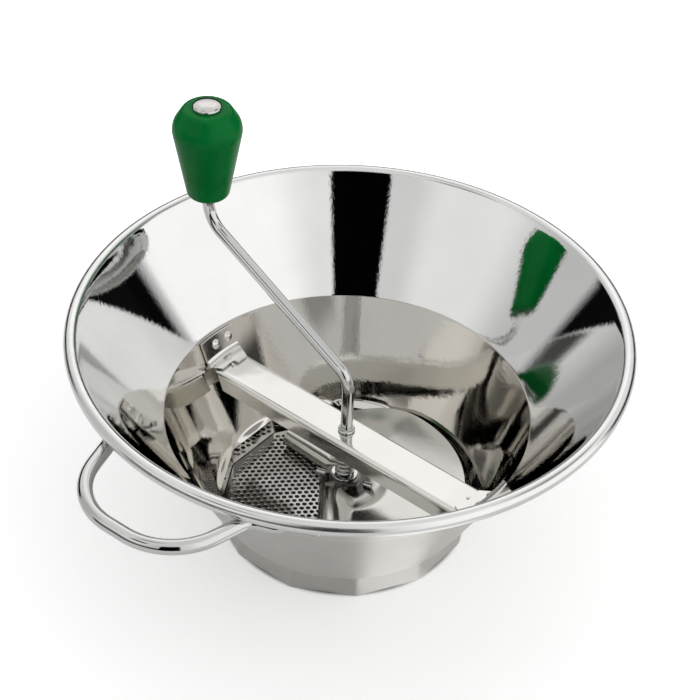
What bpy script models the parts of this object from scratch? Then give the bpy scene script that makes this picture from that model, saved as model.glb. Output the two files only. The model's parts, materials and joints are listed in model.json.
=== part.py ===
"""Hand cranked food mill.

A wide spun bowl ends in a twelve sided band that holds a drop-in sieve. A
channel shaped crossbar hooks under two brackets on the bowl's wall. A cranked
rod passes through the bar, and a spring under the bar presses the curved
blade on its lower end down on the sieve. A wire loop under the rim is the
handle. Everything is in metres, +Z up, with the origin on the crank's axis
at the plane that the bowl stands on.
"""

import math

import bmesh
import bpy
from mathutils import Matrix, Vector
from mathutils.geometry import delaunay_2d_cdt

MM = 0.001
FULL_TURN = 2 * math.pi
QUARTER_TURN = math.pi / 2
UP = Vector((0, 0, 1))

# Clearances shared by all pieces
SEAT_GAP = 0.3 * MM
OVERRUN = 4 * MM
WELD = 0.001 * MM
ROUND_SEGMENTS = 24

# Bowl: one sheet of metal, spun, with its band pressed to twelve sides.
# Radii and heights of the wall are those of the sheet's middle.
SHEET = 1.2 * MM
RIM_RADIUS = 155 * MM
RIM_HEIGHT = 137 * MM
BEAD_RADIUS = 4 * MM
CURL_TURN = math.radians(275)
CREASE_RADIUS = 103.4 * MM
CREASE_HEIGHT = 75.7 * MM
CREASE_FILLET = 5 * MM
BAND_SIDES = 12
BAND_RADIUS = 72.9 * MM
BAND_HEIGHT = 14.5 * MM
LEDGE_HEIGHT = 2.6 * MM
BASE_FILLET = 1.6 * MM
LIP_WIDTH = 6.5 * MM
FLARE_SLOPE_SHARE = 0.6
BOWL_SEGMENTS = 5 * BAND_SIDES

# Sieve
SIEVE_SHEET = 1 * MM
SIEVE_FIT = 0.5 * MM
SIEVE_HOLE_RADIUS = 2.1 * MM
SIEVE_PITCH = 8.4 * MM
SIEVE_WEB = 1.2 * MM
SIEVE_HOLE_SIDES = 6

# Shaft and crank: one bent rod
CRANK_AZIMUTH = math.radians(127.9)
ROD_RADIUS = 3.5 * MM
ROD_SIDES = 14
PILOT_RADIUS = 2.2 * MM
PILOT_FIT = 0.5 * MM
PILOT_LENGTH = 3.6 * MM
PILOT_END_HEIGHT = 0.9 * MM
ARM_REACH = 118.5 * MM
ARM_LOW_CORNER_HEIGHT = 98.3 * MM
ARM_HIGH_CORNER_HEIGHT = 143.3 * MM
ARM_LOW_BEND = 13 * MM
ARM_HIGH_BEND = 17 * MM
COLLAR_RADIUS = 4.9 * MM
COLLAR_HEIGHT = 3.4 * MM
COLLAR_FLARE = 0.8 * MM
COLLAR_EDGE_SHARE = 0.3

# Crossbar: an inverted channel with a flat tongue at each end
BAR_AZIMUTH = math.radians(134.6)
BAR_TOP_HEIGHT = 60 * MM
BAR_SHEET = 1.5 * MM
BAR_HALF_WIDTH = 12 * MM
BAR_DEPTH = 12 * MM
BAR_CORNER = 2.2 * MM
BAR_END_GAP = 1.6 * MM
TONGUE_LENGTH = 5 * MM
FLANGE_SLANT = 4 * MM
TONGUE_CORNER = 4 * MM
SHAFT_FIT = 0.45 * MM
PIP_RADIUS = 1.1 * MM
PIP_HEIGHT = 1.3 * MM
PIP_TAPER_SHARE = 0.6
PIP_SINK = 0.5 * MM
PIP_SEGMENTS = 12

# Brackets on the wall, one over each end of the crossbar
BRACKET_SHEET = 1.5 * MM
BRACKET_HALF_WIDTH = 12.9 * MM
BRACKET_TIP_HALF_WIDTH = 9.2 * MM
BRACKET_LIP_REACH = 11 * MM
BRACKET_STEP = 2.8 * MM
BRACKET_COLUMN_SHARES = (-1, -0.55, -0.1, -0.02, 0.5, 1)
BRACKET_RISE = 13.8 * MM
BRACKET_ROWS = 4
BRACKET_FIT = 0.5 * MM
BRACKET_BEND = 2 * MM
RIVET_SPACING = 10 * MM
RIVET_SHIFT = 2.6 * MM
RIVET_RADIUS = 2.9 * MM
RIVET_HEIGHT = 1.3 * MM
RIVET_EDGE_SHARE = 0.3
RIVET_RISE = 9 * MM
RIVET_SEGMENTS = 12

# Blade: a stamped sheet, domed at its hub, ridged along its raised leading
# edge and rolled under along its low trailing edge
BLADE_SHEET = 1.6 * MM
BLADE_RADIUS = 70 * MM
BLADE_HEIGHT = 21.5 * MM
BLADE_ROOT_HEIGHT = 19 * MM
BLADE_ROOT_RADIUS = 18 * MM
BLADE_SIEVE_GAP = 0.3 * MM
HUB_RADIUS = 14 * MM
HUB_HEIGHT = 25 * MM
HUB_SKIRT_HEIGHT = 17 * MM
TRAIL_AZIMUTH = math.radians(132.6)
TRAIL_LENGTH = 57 * MM
ROLL_RADIUS = 5.7 * MM
ROLL_OFFSET = 15 * MM
ROLL_START = 12 * MM
ROLL_TURN = math.radians(205)
ROLL_OPENED_SHARES = (0.5, 0.75, 0.9, 1)
ROLL_COLUMNS = 8
ROLL_HUB_START = math.radians(34)
ROLL_HUB_END = math.radians(62)
RAMP_START = math.radians(46)
RAMP_END = math.radians(86)
LEAD_AZIMUTH = math.radians(-97.4)
LEAD_OFFSET = 13.5 * MM
LEAD_EDGE_HEIGHT = 16.5 * MM
RIDGE_HEIGHT = 26 * MM
RIDGE_WIDTH = 20 * MM
RIDGE_CROWN_SHARE = 0.38
RIDGE_SHARES = (1, 0.8, 0.6, 0.38, 0.2, 0.09, 0.02, 0)
RIM_GROWTH_SHARE = 0.28
DOME_SHARES = ((0, 0), (0.42, 0), (0.62, 0.12), (0.82, 0.5), (1, 1))
BLADE_ROWS = 7
PLATE_COLUMNS = 17
OPEN_COLUMNS = 8
BLADE_SMOOTH_ANGLE = math.radians(50)

# Cross pin through hub and shaft: a split tube
PIN_AZIMUTH = math.radians(-26.4)
PIN_RADIUS = 1.7 * MM
PIN_BORE = 0.9 * MM
PIN_HALF_LENGTH = 17 * MM
PIN_HEIGHT = 22 * MM
PIN_SEGMENTS = 16

# Spring and its two washers
WASHER_RADIUS = 7.6 * MM
WASHER_THICKNESS = 1 * MM
SPRING_RADIUS = 5 * MM
SPRING_WIRE_RADIUS = 0.75 * MM
SPRING_TURNS = 9.5
SPRING_END_PITCH = 2.05 * MM
SPRING_POINTS_PER_TURN = 10

# Knob, the button over it and the ring under it. The knob's foot stands at
# its rise over the corner of the arm.
KNOB_RISE = 17.5 * MM
KNOB_LENGTH = 57 * MM
KNOB_RADIUS = 20.4 * MM
KNOB_BASE_RADIUS = 12 * MM
KNOB_WAIST_HEIGHT = 46 * MM
KNOB_TOP_RADIUS = 9.4 * MM
KNOB_BASE_ROUND = 3 * MM
KNOB_SHOULDER_ROUND = 13 * MM
KNOB_TOP_ROUND = 4 * MM
KNOB_FIT = 0.4 * MM
KNOB_SEGMENTS = 28
BUTTON_RADIUS = 8.2 * MM
BUTTON_HEIGHT = 3.2 * MM
BUTTON_EDGE = 0.9 * MM
RING_RADIUS = 5 * MM
RING_HEIGHT = 2 * MM

# Handle: a rod bent to a loop, its two ends flattened under the rim
HANDLE_AZIMUTH = math.radians(-133.5)
HANDLE_RADIUS = 4 * MM
HANDLE_REACH = 186.3 * MM
HANDLE_SHOULDER_HALF_WIDTH = 33.4 * MM
HANDLE_GRIP_BEND = 36 * MM
HANDLE_ROOT_BEND = 11 * MM
HANDLE_ROOT_ANGLE = math.radians(18.1)
HANDLE_END_ANGLE = math.radians(32)
HANDLE_ROOT_RUN = math.radians(5)
HANDLE_FLAT_SPAN = math.radians(5.5)
HANDLE_RIM_STEPS = 8
HANDLE_FLAT_HALF_THICKNESS = 2 * MM
HANDLE_FLAT_HALF_WIDTH = 5.4 * MM
HANDLE_FIT = 0.6 * MM
HANDLE_SIDES = 10

# Places that follow from the sizes above
BEAD_CENTRE = Vector((RIM_RADIUS - BEAD_RADIUS, RIM_HEIGHT - BEAD_RADIUS))
CREASE = Vector((CREASE_RADIUS, CREASE_HEIGHT))
BEAD_MIDDLE = BEAD_RADIUS - SHEET / 2
SIEVE_BASE = SHEET + SEAT_GAP
SIEVE_TOP = SIEVE_BASE + SIEVE_SHEET
COLLAR_BASE = BAR_TOP_HEIGHT + SEAT_GAP
BAR_UNDERSIDE = BAR_TOP_HEIGHT - BAR_SHEET
UPPER_WASHER_BASE = BAR_UNDERSIDE - SEAT_GAP - WASHER_THICKNESS
LOWER_WASHER_BASE = HUB_HEIGHT + BLADE_SHEET / 2 + SEAT_GAP
SPRING_BASE = LOWER_WASHER_BASE + WASHER_THICKNESS + SEAT_GAP
SPRING_TOP = UPPER_WASHER_BASE - SEAT_GAP
LIP_HEIGHT = BAR_TOP_HEIGHT + SEAT_GAP + BRACKET_SHEET / 2
KNOB_BASE_HEIGHT = ARM_HIGH_CORNER_HEIGHT + KNOB_RISE
KNOB_TOP = KNOB_BASE_HEIGHT + KNOB_LENGTH
BUTTON_BASE = KNOB_TOP + SEAT_GAP


# Materials

def make_material(name, colour, roughness, metallic):
    material = bpy.data.materials.new(name)
    material.use_nodes = True
    shader = material.node_tree.nodes["Principled BSDF"]
    shader.inputs["Base Color"].default_value = (*colour, 1)
    shader.inputs["Roughness"].default_value = roughness
    shader.inputs["Metallic"].default_value = metallic
    material.diffuse_color = (*colour, 1)
    return material


# Profiles and paths

def fillet_path(corners, radii, steps):
    """A polyline with each inner corner replaced by an arc of its radius."""
    points = [corners[0]]
    for before, corner, after, radius in zip(corners, corners[1:], corners[2:], radii):
        arriving = (corner - before).normalized()
        leaving = (after - corner).normalized()
        turn = arriving.angle(leaving)
        if not radius or turn < math.radians(1):
            points.append(corner)
            continue
        start = corner - arriving * (radius * math.tan(turn / 2))
        inward = (leaving - arriving).normalized()
        centre = corner + inward * (radius / math.cos(turn / 2))
        spoke = (centre - start).normalized()
        for step in range(steps + 1):
            angle = turn * step / steps
            points.append(centre - spoke * (radius * math.cos(angle))
                          + arriving * (radius * math.sin(angle)))
    points.append(corners[-1])
    return points


def thicken(path, thickness):
    """The closed outline of a strip with the path along its middle."""
    sides = ([], [])
    for index, point in enumerate(path):
        before = path[max(index - 1, 0)]
        after = path[min(index + 1, len(path) - 1)]
        arriving = (point - before).normalized() if index else (after - point).normalized()
        leaving = (after - point).normalized() if index < len(path) - 1 else arriving
        middle = (arriving + leaving).normalized()
        normal = Vector((-middle.y, middle.x))
        reach = thickness / 2 / max(middle.dot(arriving), 0.5)
        sides[0].append(point + normal * reach)
        sides[1].append(point - normal * reach)
    return sides[0] + sides[1][::-1]


def lerp(start, end, share):
    return start + (end - start) * share


def smooth_share(value, start, end):
    """0 before the start, 1 past the end and a smooth step between them."""
    share = min(max((value - start) / (end - start), 0), 1)
    return share * share * (3 - 2 * share)


def polar(radius, azimuth, height=0):
    return Vector((radius * math.cos(azimuth), radius * math.sin(azimuth), height))


# Solids

def add_object(name, bm, material, smooth_angle=math.radians(35)):
    bmesh.ops.recalc_face_normals(bm, faces=bm.faces)
    mesh = bpy.data.meshes.new(name)
    bm.to_mesh(mesh)
    bm.free()
    mesh.shade_smooth()
    mesh.set_sharp_from_angle(angle=smooth_angle)
    mesh.materials.append(material)
    obj = bpy.data.objects.new(name, mesh)
    bpy.context.scene.collection.objects.link(obj)
    return obj


def spin_mesh(outline, segments):
    """Turns an outline of radii and heights once round Z. An outline that
    starts and ends on the axis is open there, any other is a closed ring."""
    bm = bmesh.new()
    verts = [bm.verts.new((point[0], 0, point[1])) for point in outline]
    edges = [bm.edges.new(pair) for pair in zip(verts, verts[1:])]
    if outline[0][0] > 0 or outline[-1][0] > 0:
        edges.append(bm.edges.new((verts[-1], verts[0])))
    bmesh.ops.spin(bm, geom=verts + edges, cent=(0, 0, 0), axis=UP,
                   angle=FULL_TURN, steps=segments, use_merge=True)
    bmesh.ops.remove_doubles(bm, verts=bm.verts, dist=WELD)
    return bm


def turned(name, outline, segments, material):
    return add_object(name, spin_mesh(outline, segments), material)


def ring(name, inner, outer, height):
    """A steel washer that stands on its own origin."""
    outline = [(inner, 0), (outer, 0), (outer, height), (inner, height)]
    return turned(name, outline, ROUND_SEGMENTS, materials["steel"])


def extrude_mesh(outline, length):
    """A prism along X from an outline in Y and Z, centred on the origin."""
    bm = bmesh.new()
    face = bm.faces.new([bm.verts.new((-length / 2, y, z)) for y, z in outline])
    grown = bmesh.ops.extrude_face_region(bm, geom=[face])
    moved = [item for item in grown["geom"] if isinstance(item, bmesh.types.BMVert)]
    bmesh.ops.translate(bm, verts=moved, vec=(length, 0, 0))
    return bm


def sweep_mesh(path, sections, ups, sides):
    """A tube through the path. Each point has a section (half size along its
    up direction, half size across it)."""
    bm = bmesh.new()
    rings = []
    for index, point in enumerate(path):
        before = next((p for p in reversed(path[:index]) if (p - point).length > WELD), point)
        after = next((p for p in path[index + 1:] if (p - point).length > WELD), point)
        along = ((after - point).normalized() + (point - before).normalized()).normalized()
        up = ups[index] - along * ups[index].dot(along)
        up.normalize()
        across = along.cross(up)
        tall, wide = sections[index]
        rings.append([bm.verts.new(point + up * (tall * math.sin(FULL_TURN * side / sides))
                                   + across * (wide * math.cos(FULL_TURN * side / sides)))
                      for side in range(sides)])
    for lower, upper in zip(rings, rings[1:]):
        for side in range(sides):
            following = (side + 1) % sides
            bm.faces.new((lower[side], lower[following], upper[following], upper[side]))
    bm.faces.new(rings[0])
    bm.faces.new(rings[-1])
    return bm


def as_cutter(obj):
    obj.hide_render = True
    obj.display_type = "WIRE"
    return obj


def boolean(obj, tool, operation="DIFFERENCE"):
    modifier = obj.modifiers.new(tool.name, "BOOLEAN")
    modifier.operation = operation
    modifier.solver = "EXACT"
    modifier.object = tool


def solidify(obj, thickness):
    modifier = obj.modifiers.new("sheet", "SOLIDIFY")
    modifier.thickness = thickness
    modifier.offset = 0
    modifier.use_even_offset = True


def rod_cutter(name, radius, length, segments, rotation, location):
    bm = bmesh.new()
    bmesh.ops.create_cone(bm, cap_ends=True, segments=segments, radius1=radius,
                          radius2=radius, depth=length)
    obj = add_object(name, bm, materials["steel"])
    obj.rotation_euler = rotation
    obj.location = location
    return as_cutter(obj)


# Bowl

# The cone runs from the crease to where it touches the rim's curl
CONE_SPAN = BEAD_CENTRE - CREASE
CONE_ANGLE = math.atan2(CONE_SPAN.y, CONE_SPAN.x) + math.asin(BEAD_MIDDLE / CONE_SPAN.length)
CONE_ALONG = Vector((math.cos(CONE_ANGLE), math.sin(CONE_ANGLE)))
CONE_OUTWARD = Vector((CONE_ALONG.y, -CONE_ALONG.x))


def wall_slope(height):
    if height > CREASE_HEIGHT:
        return 1 / math.tan(CONE_ANGLE)
    run = CREASE_HEIGHT - BAND_HEIGHT
    rise = CREASE_RADIUS - BAND_RADIUS
    share = min(max((height - BAND_HEIGHT) / run, 0), 1)
    return FLARE_SLOPE_SHARE + 2 * (rise / run - FLARE_SLOPE_SHARE) * share


def wall_radius(height):
    """The sheet's middle: a shallow curve from the band to the crease, then
    the cone."""
    run = CREASE_HEIGHT - BAND_HEIGHT
    rise = CREASE_RADIUS - BAND_RADIUS
    up = height - BAND_HEIGHT
    if height > CREASE_HEIGHT:
        return CREASE_RADIUS + (height - CREASE_HEIGHT) * wall_slope(height)
    return BAND_RADIUS + FLARE_SLOPE_SHARE * up + (rise - FLARE_SLOPE_SHARE * run) * (up / run) ** 2


def wall_inside(height, depth=SHEET / 2):
    """The radius at a depth inward, square to the wall, from its middle."""
    return wall_radius(height) - depth * math.hypot(1, wall_slope(height))


def press_facets(bm):
    """Flattens the round band to its sides, up to the ledge over them."""
    half_side = math.pi / BAND_SIDES
    for vert in bm.verts:
        share = 1 - smooth_share(vert.co.z, BAND_HEIGHT, BAND_HEIGHT + LEDGE_HEIGHT)
        radius = math.hypot(vert.co.x, vert.co.y)
        if share <= 0 or radius <= 0:
            continue
        azimuth = math.atan2(vert.co.y, vert.co.x)
        from_middle = azimuth % (2 * half_side) - half_side
        flat = math.cos(half_side) / math.cos(from_middle)
        scale = 1 - share * (1 - flat)
        vert.co.x *= scale
        vert.co.y *= scale


def make_bowl():
    wall_steps = 6
    curl_steps = 8
    heights = [BAND_HEIGHT + LEDGE_HEIGHT
               + (CREASE_HEIGHT - BAND_HEIGHT - LEDGE_HEIGHT) * step / wall_steps
               for step in range(wall_steps)]
    corners = [Vector((BAND_RADIUS - LIP_WIDTH, SHEET / 2)), Vector((BAND_RADIUS, SHEET / 2)),
               Vector((BAND_RADIUS, BAND_HEIGHT))]
    corners += [Vector((wall_radius(height), height)) for height in heights]
    corners.append(CREASE)
    curl_angle = CONE_ANGLE + QUARTER_TURN
    curl = [BEAD_CENTRE + BEAD_MIDDLE * Vector((math.cos(curl_angle - turn),
                                                math.sin(curl_angle - turn)))
            for turn in (CURL_TURN * step / curl_steps for step in range(curl_steps + 1))]
    corners.append(curl[0])
    fillets = [BASE_FILLET, 0] + [0] * wall_steps + [CREASE_FILLET]
    path = fillet_path(corners, fillets, 2) + curl[1:]
    bm = spin_mesh(thicken(path, SHEET), BOWL_SEGMENTS)
    press_facets(bm)
    return add_object("bowl", bm, materials["polished_steel"])


# Sieve

def perforated_plate(outline, holes, base, thickness, in_hole):
    """A flat plate from a constrained triangulation of its outline and its
    holes. in_hole says of a point whether it lies in one of the holes."""
    points, edges = [], []
    for loop in [outline] + holes:
        first = len(points)
        points += loop
        count = len(loop)
        edges += [(first + step, first + (step + 1) % count) for step in range(count)]
    flat, _, faces, *_ = delaunay_2d_cdt(points, edges, [], 1, WELD)
    bm = bmesh.new()
    layers = [[bm.verts.new((point.x, point.y, height)) for point in flat]
              for height in (base, base + thickness)]
    rims = {}
    for face in faces:
        centre = sum((flat[corner] for corner in face), Vector((0, 0))) / len(face)
        if in_hole(centre):
            continue
        bm.faces.new([layers[1][corner] for corner in face])
        bm.faces.new([layers[0][corner] for corner in reversed(face)])
        for start, end in zip(face, list(face[1:]) + [face[0]]):
            if (end, start) in rims:
                del rims[(end, start)]
            else:
                rims[(start, end)] = True
    for start, end in rims:
        bm.faces.new((layers[0][start], layers[0][end], layers[1][end], layers[1][start]))
    return bm


def make_sieve():
    corner_radius = BAND_RADIUS - SHEET / 2 - SIEVE_FIT
    outline = [polar(corner_radius, FULL_TURN * side / BAND_SIDES).xy for side in range(BAND_SIDES)]
    lip_flat = (BAND_RADIUS - LIP_WIDTH) * math.cos(math.pi / BAND_SIDES)
    field = lip_flat - SIEVE_HOLE_RADIUS - SIEVE_WEB
    pilot_hole = PILOT_RADIUS + PILOT_FIT
    pilot_zone = pilot_hole + SIEVE_HOLE_RADIUS + SIEVE_WEB
    row_step = SIEVE_PITCH * math.sqrt(3) / 2
    rows = int(field / row_step) + 1
    centres = []
    for row in range(-rows, rows + 1):
        shift = SIEVE_PITCH / 2 * (row % 2)
        for column in range(-rows - 1, rows + 2):
            centre = Vector((column * SIEVE_PITCH + shift, row * row_step))
            if pilot_zone < centre.length < field:
                centres.append(centre)
    holes = [[centre + polar(SIEVE_HOLE_RADIUS, FULL_TURN * side / SIEVE_HOLE_SIDES).xy
              for side in range(SIEVE_HOLE_SIDES)] for centre in centres]
    holes.append([polar(pilot_hole, FULL_TURN * side / BAND_SIDES).xy for side in range(BAND_SIDES)])

    def in_hole(point):
        if point.length < pilot_hole:
            return True
        return any((point - centre).length < SIEVE_HOLE_RADIUS * math.cos(math.pi / SIEVE_HOLE_SIDES)
                   for centre in centres)

    bm = perforated_plate(outline, holes, SIEVE_BASE, SIEVE_SHEET, in_hole)
    return add_object("sieve", bm, materials["polished_steel"])


# Handle

def handle_seat(half_thickness, half_width):
    """The section's centre where it lies against the cone, under the rim."""
    from_cone = SHEET / 2 + HANDLE_FIT + half_thickness
    below_bead = BEAD_RADIUS + HANDLE_FIT + half_width
    return BEAD_CENTRE + CONE_OUTWARD * (from_cone - BEAD_MIDDLE) - CONE_ALONG * below_bead


def make_handle():
    """A loop from one arm to the other. Past each root the rod runs straight
    on under the rim and is pressed flat, so its tip stands off the cone."""
    round_seat = handle_seat(HANDLE_RADIUS, HANDLE_RADIUS)
    level = round_seat.y
    leave = HANDLE_ROOT_ANGLE + HANDLE_ROOT_RUN
    half = []
    for step in range(HANDLE_RIM_STEPS + 1):
        angle = lerp(HANDLE_END_ANGLE, leave, step / HANDLE_RIM_STEPS)
        flat = smooth_share(angle, leave, HANDLE_END_ANGLE - HANDLE_FLAT_SPAN)
        thin = lerp(HANDLE_RADIUS, HANDLE_FLAT_HALF_THICKNESS, flat)
        wide = lerp(HANDLE_RADIUS, HANDLE_FLAT_HALF_WIDTH, flat)
        seat = handle_seat(thin, wide)
        seat += CONE_OUTWARD * (seat.x / CONE_OUTWARD.x * (1 / math.cos(angle - leave) - 1))
        along = Vector((CONE_ALONG.x * math.cos(angle), CONE_ALONG.x * math.sin(angle), CONE_ALONG.y))
        half.append((polar(seat.x, angle, seat.y), (wide, thin), along.lerp(UP, 1 - flat)))
    root = polar(round_seat.x, HANDLE_ROOT_ANGLE, level)
    shoulder = Vector((HANDLE_REACH, HANDLE_SHOULDER_HALF_WIDTH, level))
    mirrored = [Vector((point.x, -point.y, point.z)) for point in (shoulder, root, half[-1][0])]
    loop = fillet_path([half[-1][0], root, shoulder] + mirrored,
                       [HANDLE_ROOT_BEND, HANDLE_GRIP_BEND, HANDLE_GRIP_BEND, HANDLE_ROOT_BEND], 6)
    round_section = (HANDLE_RADIUS, HANDLE_RADIUS)
    stations = half + [(point, round_section, UP) for point in loop[1:-1]]
    for point, section, up in reversed(half):
        stations.append((Vector((point.x, -point.y, point.z)), section, Vector((up.x, -up.y, up.z))))
    bm = sweep_mesh([station[0] for station in stations], [station[1] for station in stations],
                    [station[2] for station in stations], HANDLE_SIDES)
    obj = add_object("handle_loop", bm, materials["steel"])
    obj.rotation_euler.z = HANDLE_AZIMUTH
    return obj


# Brackets and their rivets

def make_bracket(name, azimuth):
    """A strip that follows the wall, then turns in over the crossbar's end.
    Half of its lip is cut back, which leaves a stop for the bar's pip."""
    plate_depth = SHEET / 2 + BRACKET_FIT + BRACKET_SHEET / 2
    root = wall_inside(LIP_HEIGHT, plate_depth)
    plate_foot = LIP_HEIGHT + BRACKET_BEND
    plate_top = LIP_HEIGHT + BRACKET_RISE
    step_share = BRACKET_COLUMN_SHARES[2]
    heights = [lerp(plate_top, plate_foot, step / BRACKET_ROWS) for step in range(BRACKET_ROWS + 1)]
    if plate_foot < CREASE_HEIGHT < plate_top:
        heights = sorted(set(heights) | {CREASE_HEIGHT}, reverse=True)
    bm = bmesh.new()
    columns = []
    for share in BRACKET_COLUMN_SHARES:
        column = []
        for height in heights:
            across = share * BRACKET_HALF_WIDTH
            radius = wall_inside(height, plate_depth)
            column.append(bm.verts.new((math.sqrt(radius ** 2 - across ** 2), across, height)))
        across = share * BRACKET_HALF_WIDTH
        edge = math.sqrt(root ** 2 - across ** 2)
        bend = BRACKET_BEND * math.sqrt(2) / 2
        column.append(bm.verts.new((edge + bend - BRACKET_BEND, across, plate_foot - bend)))
        column.append(bm.verts.new((edge - BRACKET_BEND, across, LIP_HEIGHT)))
        reach = BRACKET_LIP_REACH - (BRACKET_STEP if share > step_share else 0)
        tip_across = share * BRACKET_TIP_HALF_WIDTH
        column.append(bm.verts.new((root - reach, tip_across, LIP_HEIGHT)))
        columns.append(column)
    for left, right in zip(columns, columns[1:]):
        for row in range(len(left) - 1):
            bm.faces.new((left[row], left[row + 1], right[row + 1], right[row]))
    obj = add_object(name, bm, materials["polished_steel"])
    obj.rotation_euler.z = azimuth
    solidify(obj, BRACKET_SHEET)
    return obj


def make_rivet(name, azimuth, across):
    height = LIP_HEIGHT + RIVET_RISE
    depth = SHEET / 2 + BRACKET_FIT + BRACKET_SHEET + SEAT_GAP
    radius = wall_inside(height, depth)
    spread = math.asin(across / radius)
    dome_steps = 4
    outline = [(0, 0), (RIVET_RADIUS, 0)]
    outline += [(RIVET_RADIUS * math.cos(QUARTER_TURN * step / dome_steps),
                 RIVET_HEIGHT * lerp(RIVET_EDGE_SHARE, 1, math.sin(QUARTER_TURN * step / dome_steps)))
                for step in range(dome_steps)]
    outline.append((0, RIVET_HEIGHT))
    obj = turned(name, outline, RIVET_SEGMENTS, materials["polished_steel"])
    lean = math.atan(wall_slope(height))
    obj.rotation_euler = Vector((-math.cos(lean), 0, math.sin(lean))).to_track_quat("Z", "Y").to_euler()
    obj.matrix_world = (Matrix.Rotation(azimuth + spread, 4, "Z") @ Matrix.Translation((radius, 0, height))
                        @ obj.rotation_euler.to_matrix().to_4x4())
    return obj


# Crossbar

def bar_reach():
    """The tongue ends short of the wall, at the bar's corners."""
    wall = wall_inside(BAR_UNDERSIDE)
    return math.sqrt((wall - BAR_END_GAP) ** 2 - BAR_HALF_WIDTH ** 2)


def make_crossbar():
    middle = BAR_SHEET / 2
    half_width = BAR_HALF_WIDTH - middle
    corners = [Vector((-half_width, -BAR_DEPTH)), Vector((-half_width, -middle)),
               Vector((half_width, -middle)), Vector((half_width, -BAR_DEPTH))]
    outline = thicken(fillet_path(corners, [BAR_CORNER, BAR_CORNER], 3), BAR_SHEET)
    reach = bar_reach()
    flange_top = reach - TONGUE_LENGTH
    flange_foot = flange_top - FLANGE_SLANT
    bar = add_object("crossbar", extrude_mesh(outline, 2 * reach), materials["polished_steel"])
    bar.location.z = BAR_TOP_HEIGHT
    bar.rotation_euler.z = BAR_AZIMUTH
    cutters = []
    for side, label in ((1, "a"), (-1, "b")):
        tongue = -BAR_SHEET - SEAT_GAP
        relief = [(side * flange_top, tongue), (side * flange_foot, -BAR_DEPTH - OVERRUN),
                  (side * (reach + OVERRUN), -BAR_DEPTH - OVERRUN), (side * (reach + OVERRUN), tongue)]
        bm = bmesh.new()
        face = bm.faces.new([bm.verts.new((x, -BAR_HALF_WIDTH - OVERRUN, z)) for x, z in relief])
        grown = bmesh.ops.extrude_face_region(bm, geom=[face])
        moved = [item for item in grown["geom"] if isinstance(item, bmesh.types.BMVert)]
        bmesh.ops.translate(bm, verts=moved, vec=(0, 2 * (BAR_HALF_WIDTH + OVERRUN), 0))
        cutters.append(as_cutter(add_object("flange_relief_" + label, bm, materials["steel"])))
        for edge in (1, -1):
            trim = [(side * (reach - TONGUE_CORNER), edge * (BAR_HALF_WIDTH + SEAT_GAP)),
                    (side * (reach + OVERRUN), edge * (BAR_HALF_WIDTH + SEAT_GAP)),
                    (side * (reach + OVERRUN), edge * (BAR_HALF_WIDTH - TONGUE_CORNER - OVERRUN))]
            bm = bmesh.new()
            face = bm.faces.new([bm.verts.new((x, y, -BAR_DEPTH)) for x, y in trim])
            grown = bmesh.ops.extrude_face_region(bm, geom=[face])
            moved = [item for item in grown["geom"] if isinstance(item, bmesh.types.BMVert)]
            bmesh.ops.translate(bm, verts=moved, vec=(0, 0, BAR_DEPTH + OVERRUN))
            trim_name = "tongue_trim_" + label + ("l" if edge > 0 else "r")
            cutters.append(as_cutter(add_object(trim_name, bm, materials["steel"])))
    for cutter in cutters:
        cutter.location.z = BAR_TOP_HEIGHT
        cutter.rotation_euler.z = BAR_AZIMUTH
    cutters.append(rod_cutter("bar_bore", ROD_RADIUS + SHAFT_FIT, 2 * BAR_DEPTH, ROUND_SEGMENTS,
                              (0, 0, BAR_AZIMUTH), (0, 0, BAR_TOP_HEIGHT)))
    for cutter in cutters:
        boolean(bar, cutter)
    lip_tip = wall_inside(LIP_HEIGHT, SHEET / 2 + BRACKET_FIT + BRACKET_SHEET / 2) - BRACKET_LIP_REACH
    pip_reach = lip_tip + SEAT_GAP + PIP_RADIUS
    for side, label in ((1, "a"), (-1, "b")):
        bm = bmesh.new()
        bmesh.ops.create_cone(bm, cap_ends=True, segments=PIP_SEGMENTS, radius1=PIP_RADIUS,
                              radius2=PIP_RADIUS * PIP_TAPER_SHARE, depth=PIP_HEIGHT + PIP_SINK)
        pip = as_cutter(add_object("pip_" + label, bm, materials["steel"]))
        place = Vector((side * pip_reach, side * (PIP_RADIUS + SEAT_GAP), BAR_TOP_HEIGHT))
        place.rotate(Matrix.Rotation(BAR_AZIMUTH, 3, "Z"))
        pip.location = place + UP * (PIP_HEIGHT - PIP_SINK) / 2
        boolean(bar, pip, "UNION")
    return bar


# Crank rod

def make_crank():
    across = polar(1, CRANK_AZIMUTH + QUARTER_TURN)
    top = BUTTON_BASE + BUTTON_HEIGHT / 2 - SEAT_GAP
    shoulder = PILOT_END_HEIGHT + PILOT_LENGTH
    corners = [Vector((0, 0, shoulder)), Vector((0, 0, ARM_LOW_CORNER_HEIGHT)),
               polar(ARM_REACH, CRANK_AZIMUTH, ARM_HIGH_CORNER_HEIGHT), polar(ARM_REACH, CRANK_AZIMUTH, top)]
    path = fillet_path(corners, [ARM_LOW_BEND, ARM_HIGH_BEND], 6)
    radii = [ROD_RADIUS] * len(path)
    path = [Vector((0, 0, PILOT_END_HEIGHT)), Vector((0, 0, shoulder))] + path
    radii = [PILOT_RADIUS, PILOT_RADIUS] + radii
    bm = sweep_mesh(path, [(radius, radius) for radius in radii], [across] * len(path), ROD_SIDES)
    crank = add_object("crank_rod", bm, materials["steel"])
    boolean(crank, rod_cutter("shaft_pin_hole", PIN_RADIUS + SEAT_GAP, 4 * ROD_RADIUS, PIN_SEGMENTS,
                              (QUARTER_TURN, 0, PIN_AZIMUTH + QUARTER_TURN), (0, 0, PIN_HEIGHT)))
    return crank


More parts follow.
